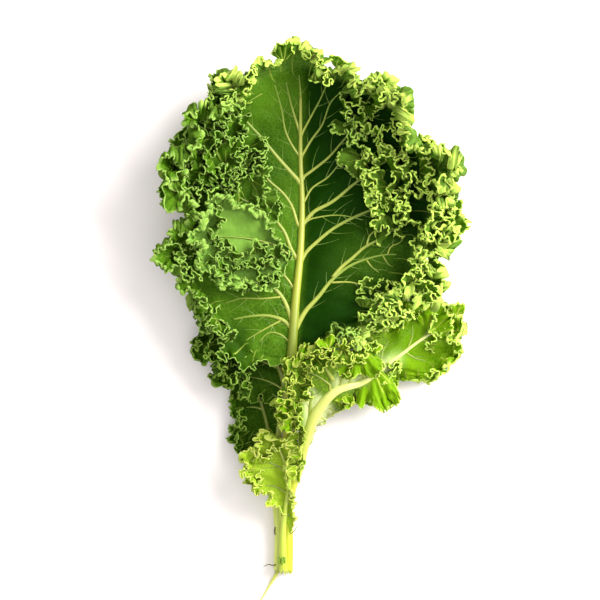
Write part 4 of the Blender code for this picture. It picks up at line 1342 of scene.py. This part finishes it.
def build_leaf(name, leaf):
    """All pieces of a leaf but its cut end."""
    blade = Blade(leaf, FINE[name])
    ribs = RIBS.get(name) or own_ribs(blade)
    plans = [plan_curve(points, RIB_STEP) for points, _, _ in ribs]
    hollow, whole = add_blade(name, name, blade, plans)
    add_stalk(name, leaf)
    add_ribs(name, leaf, ribs, plans, hollow)
    folds = all_folds(name, leaf, hollow, whole)
    for number in range(0, len(folds), FOLDS_PER_PIECE):
        group = folds[number:number + FOLDS_PER_PIECE]
        add_folds(f"{name}_folds_{number // FOLDS_PER_PIECE}", name, group)
    for lobe in leaf.get("lobes", []):
        build_lobe(name, lobe)


def build_lobe(node, lobe):
    """A further sheet of a leaf, with its folds and the rib that it grows from."""
    title = node + "_lobe"
    hollow, whole = add_blade(title, node, Blade(lobe, FINE[title]), [])
    add_folds(title + "_folds", node, all_folds(title, lobe, hollow, whole))
    half = np.linspace(*LOBE_RIB_WIDTHS, LOBE_RIB_STEPS)
    rib = (smooth_curve(lobe["stalk"], LOBE_RIB_STEPS), half, half)
    add_tubes(title + "_ribs", node, [rib], RIB_SIDES, rib_skin, on_table=False)


def frayed_end(leaf):
    """Short torn fibres round the cut end of a stalk."""
    draw = np.random.default_rng(leaf["seed"])
    middle = np.array(leaf["stalk"][0], dtype=float)
    half = leaf["girth"][0]
    fibres = []
    for turn in np.arange(FRAYS) / FRAYS * 2 * math.pi:
        side = np.array((math.cos(turn), 0.0, math.sin(turn)))
        root = middle + side * half * FRAY_ROOT[0]
        root[1] += FRAY_ROOT[1]
        tip = middle + side * half * draw.uniform(*FRAY_SPREAD)
        tip[1] -= draw.uniform(*FRAY_LENGTH)
        path = smooth_curve([root, (root + tip) / 2 + side * FRAY_BOW, tip], FRAY_STEPS)
        path[:, 2] = np.maximum(path[:, 2], FRAY_FLOOR)
        width = np.linspace(*FRAY_WIDTHS, FRAY_STEPS)
        fibres.append((path, width, width))
    return fibres


def build_fibres():
    """The frayed cut ends, torn fibres, hairs and scars."""
    for name, leaf in LEAVES.items():
        add_tubes(name + "_cut", name, frayed_end(leaf), FRAY_SIDES, stalk_skins[name])
    for title, path, first, last, skin in FIBRES:
        width = np.linspace(first, last, FIBRE_STEPS)
        tube = (smooth_curve(path, FIBRE_STEPS), width, width)
        add_tubes(title, "leaf_left_low", [tube], FIBRE_SIDES, skin)


def build_stage():
    """A plain floor under the bunch."""
    mesh = bpy.data.meshes.new("floor")
    size = FLOOR_SIZE
    mesh.from_pydata([(-size, -size, 0), (size, -size, 0), (size, size, 0), (-size, size, 0)], [],
                     [(0, 1, 2, 3)])
    mesh.materials.append(principled("floor", FLOOR_COLOUR, 0.8)[0])
    floor = bpy.data.objects.new("floor", mesh)
    bpy.context.scene.collection.objects.link(floor)


def build_light():
    """The lights, all turned to the middle of the bunch, and an even white world."""
    for name, place, size, power in LIGHTS:
        light = bpy.data.lights.new(name, "AREA")
        light.size = size
        light.energy = power
        lamp = bpy.data.objects.new(name, light)
        lamp.location = place
        lamp.rotation_euler = (-Vector(place)).to_track_quat("-Z", "Y").to_euler()
        bpy.context.scene.collection.objects.link(lamp)
    world = bpy.data.worlds.new("studio")
    bpy.context.scene.world = world
    world.use_nodes = True
    adjust(world.node_tree.nodes["Background"],
           {"Color": (1.0, 1.0, 1.0, 1.0), "Strength": WORLD_STRENGTH})
    bpy.context.scene.view_settings.view_transform = "Standard"


def build_camera():
    """Straight above, so that the picture shows what the photo shows."""
    camera = bpy.data.cameras.new("camera")
    camera.sensor_width = SENSOR
    camera.lens = SENSOR * (CAMERA_HEIGHT - LEVEL) / (PHOTO_SIZE * PIXEL * MM)
    item = bpy.data.objects.new("camera", camera)
    column, row = ORIGIN_PIXEL
    half = PHOTO_SIZE / 2
    middle = (np.array(((half - column) * PIXEL, (row - half) * PIXEL, 0.0)) - CENTRE) * MM
    item.location = (middle[0], middle[1], CAMERA_HEIGHT)
    bpy.context.scene.collection.objects.link(item)
    bpy.context.scene.camera = item


for name, leaf in LEAVES.items():
    build_leaf(name, leaf)
build_fibres()
build_stage()
build_light()
build_camera()
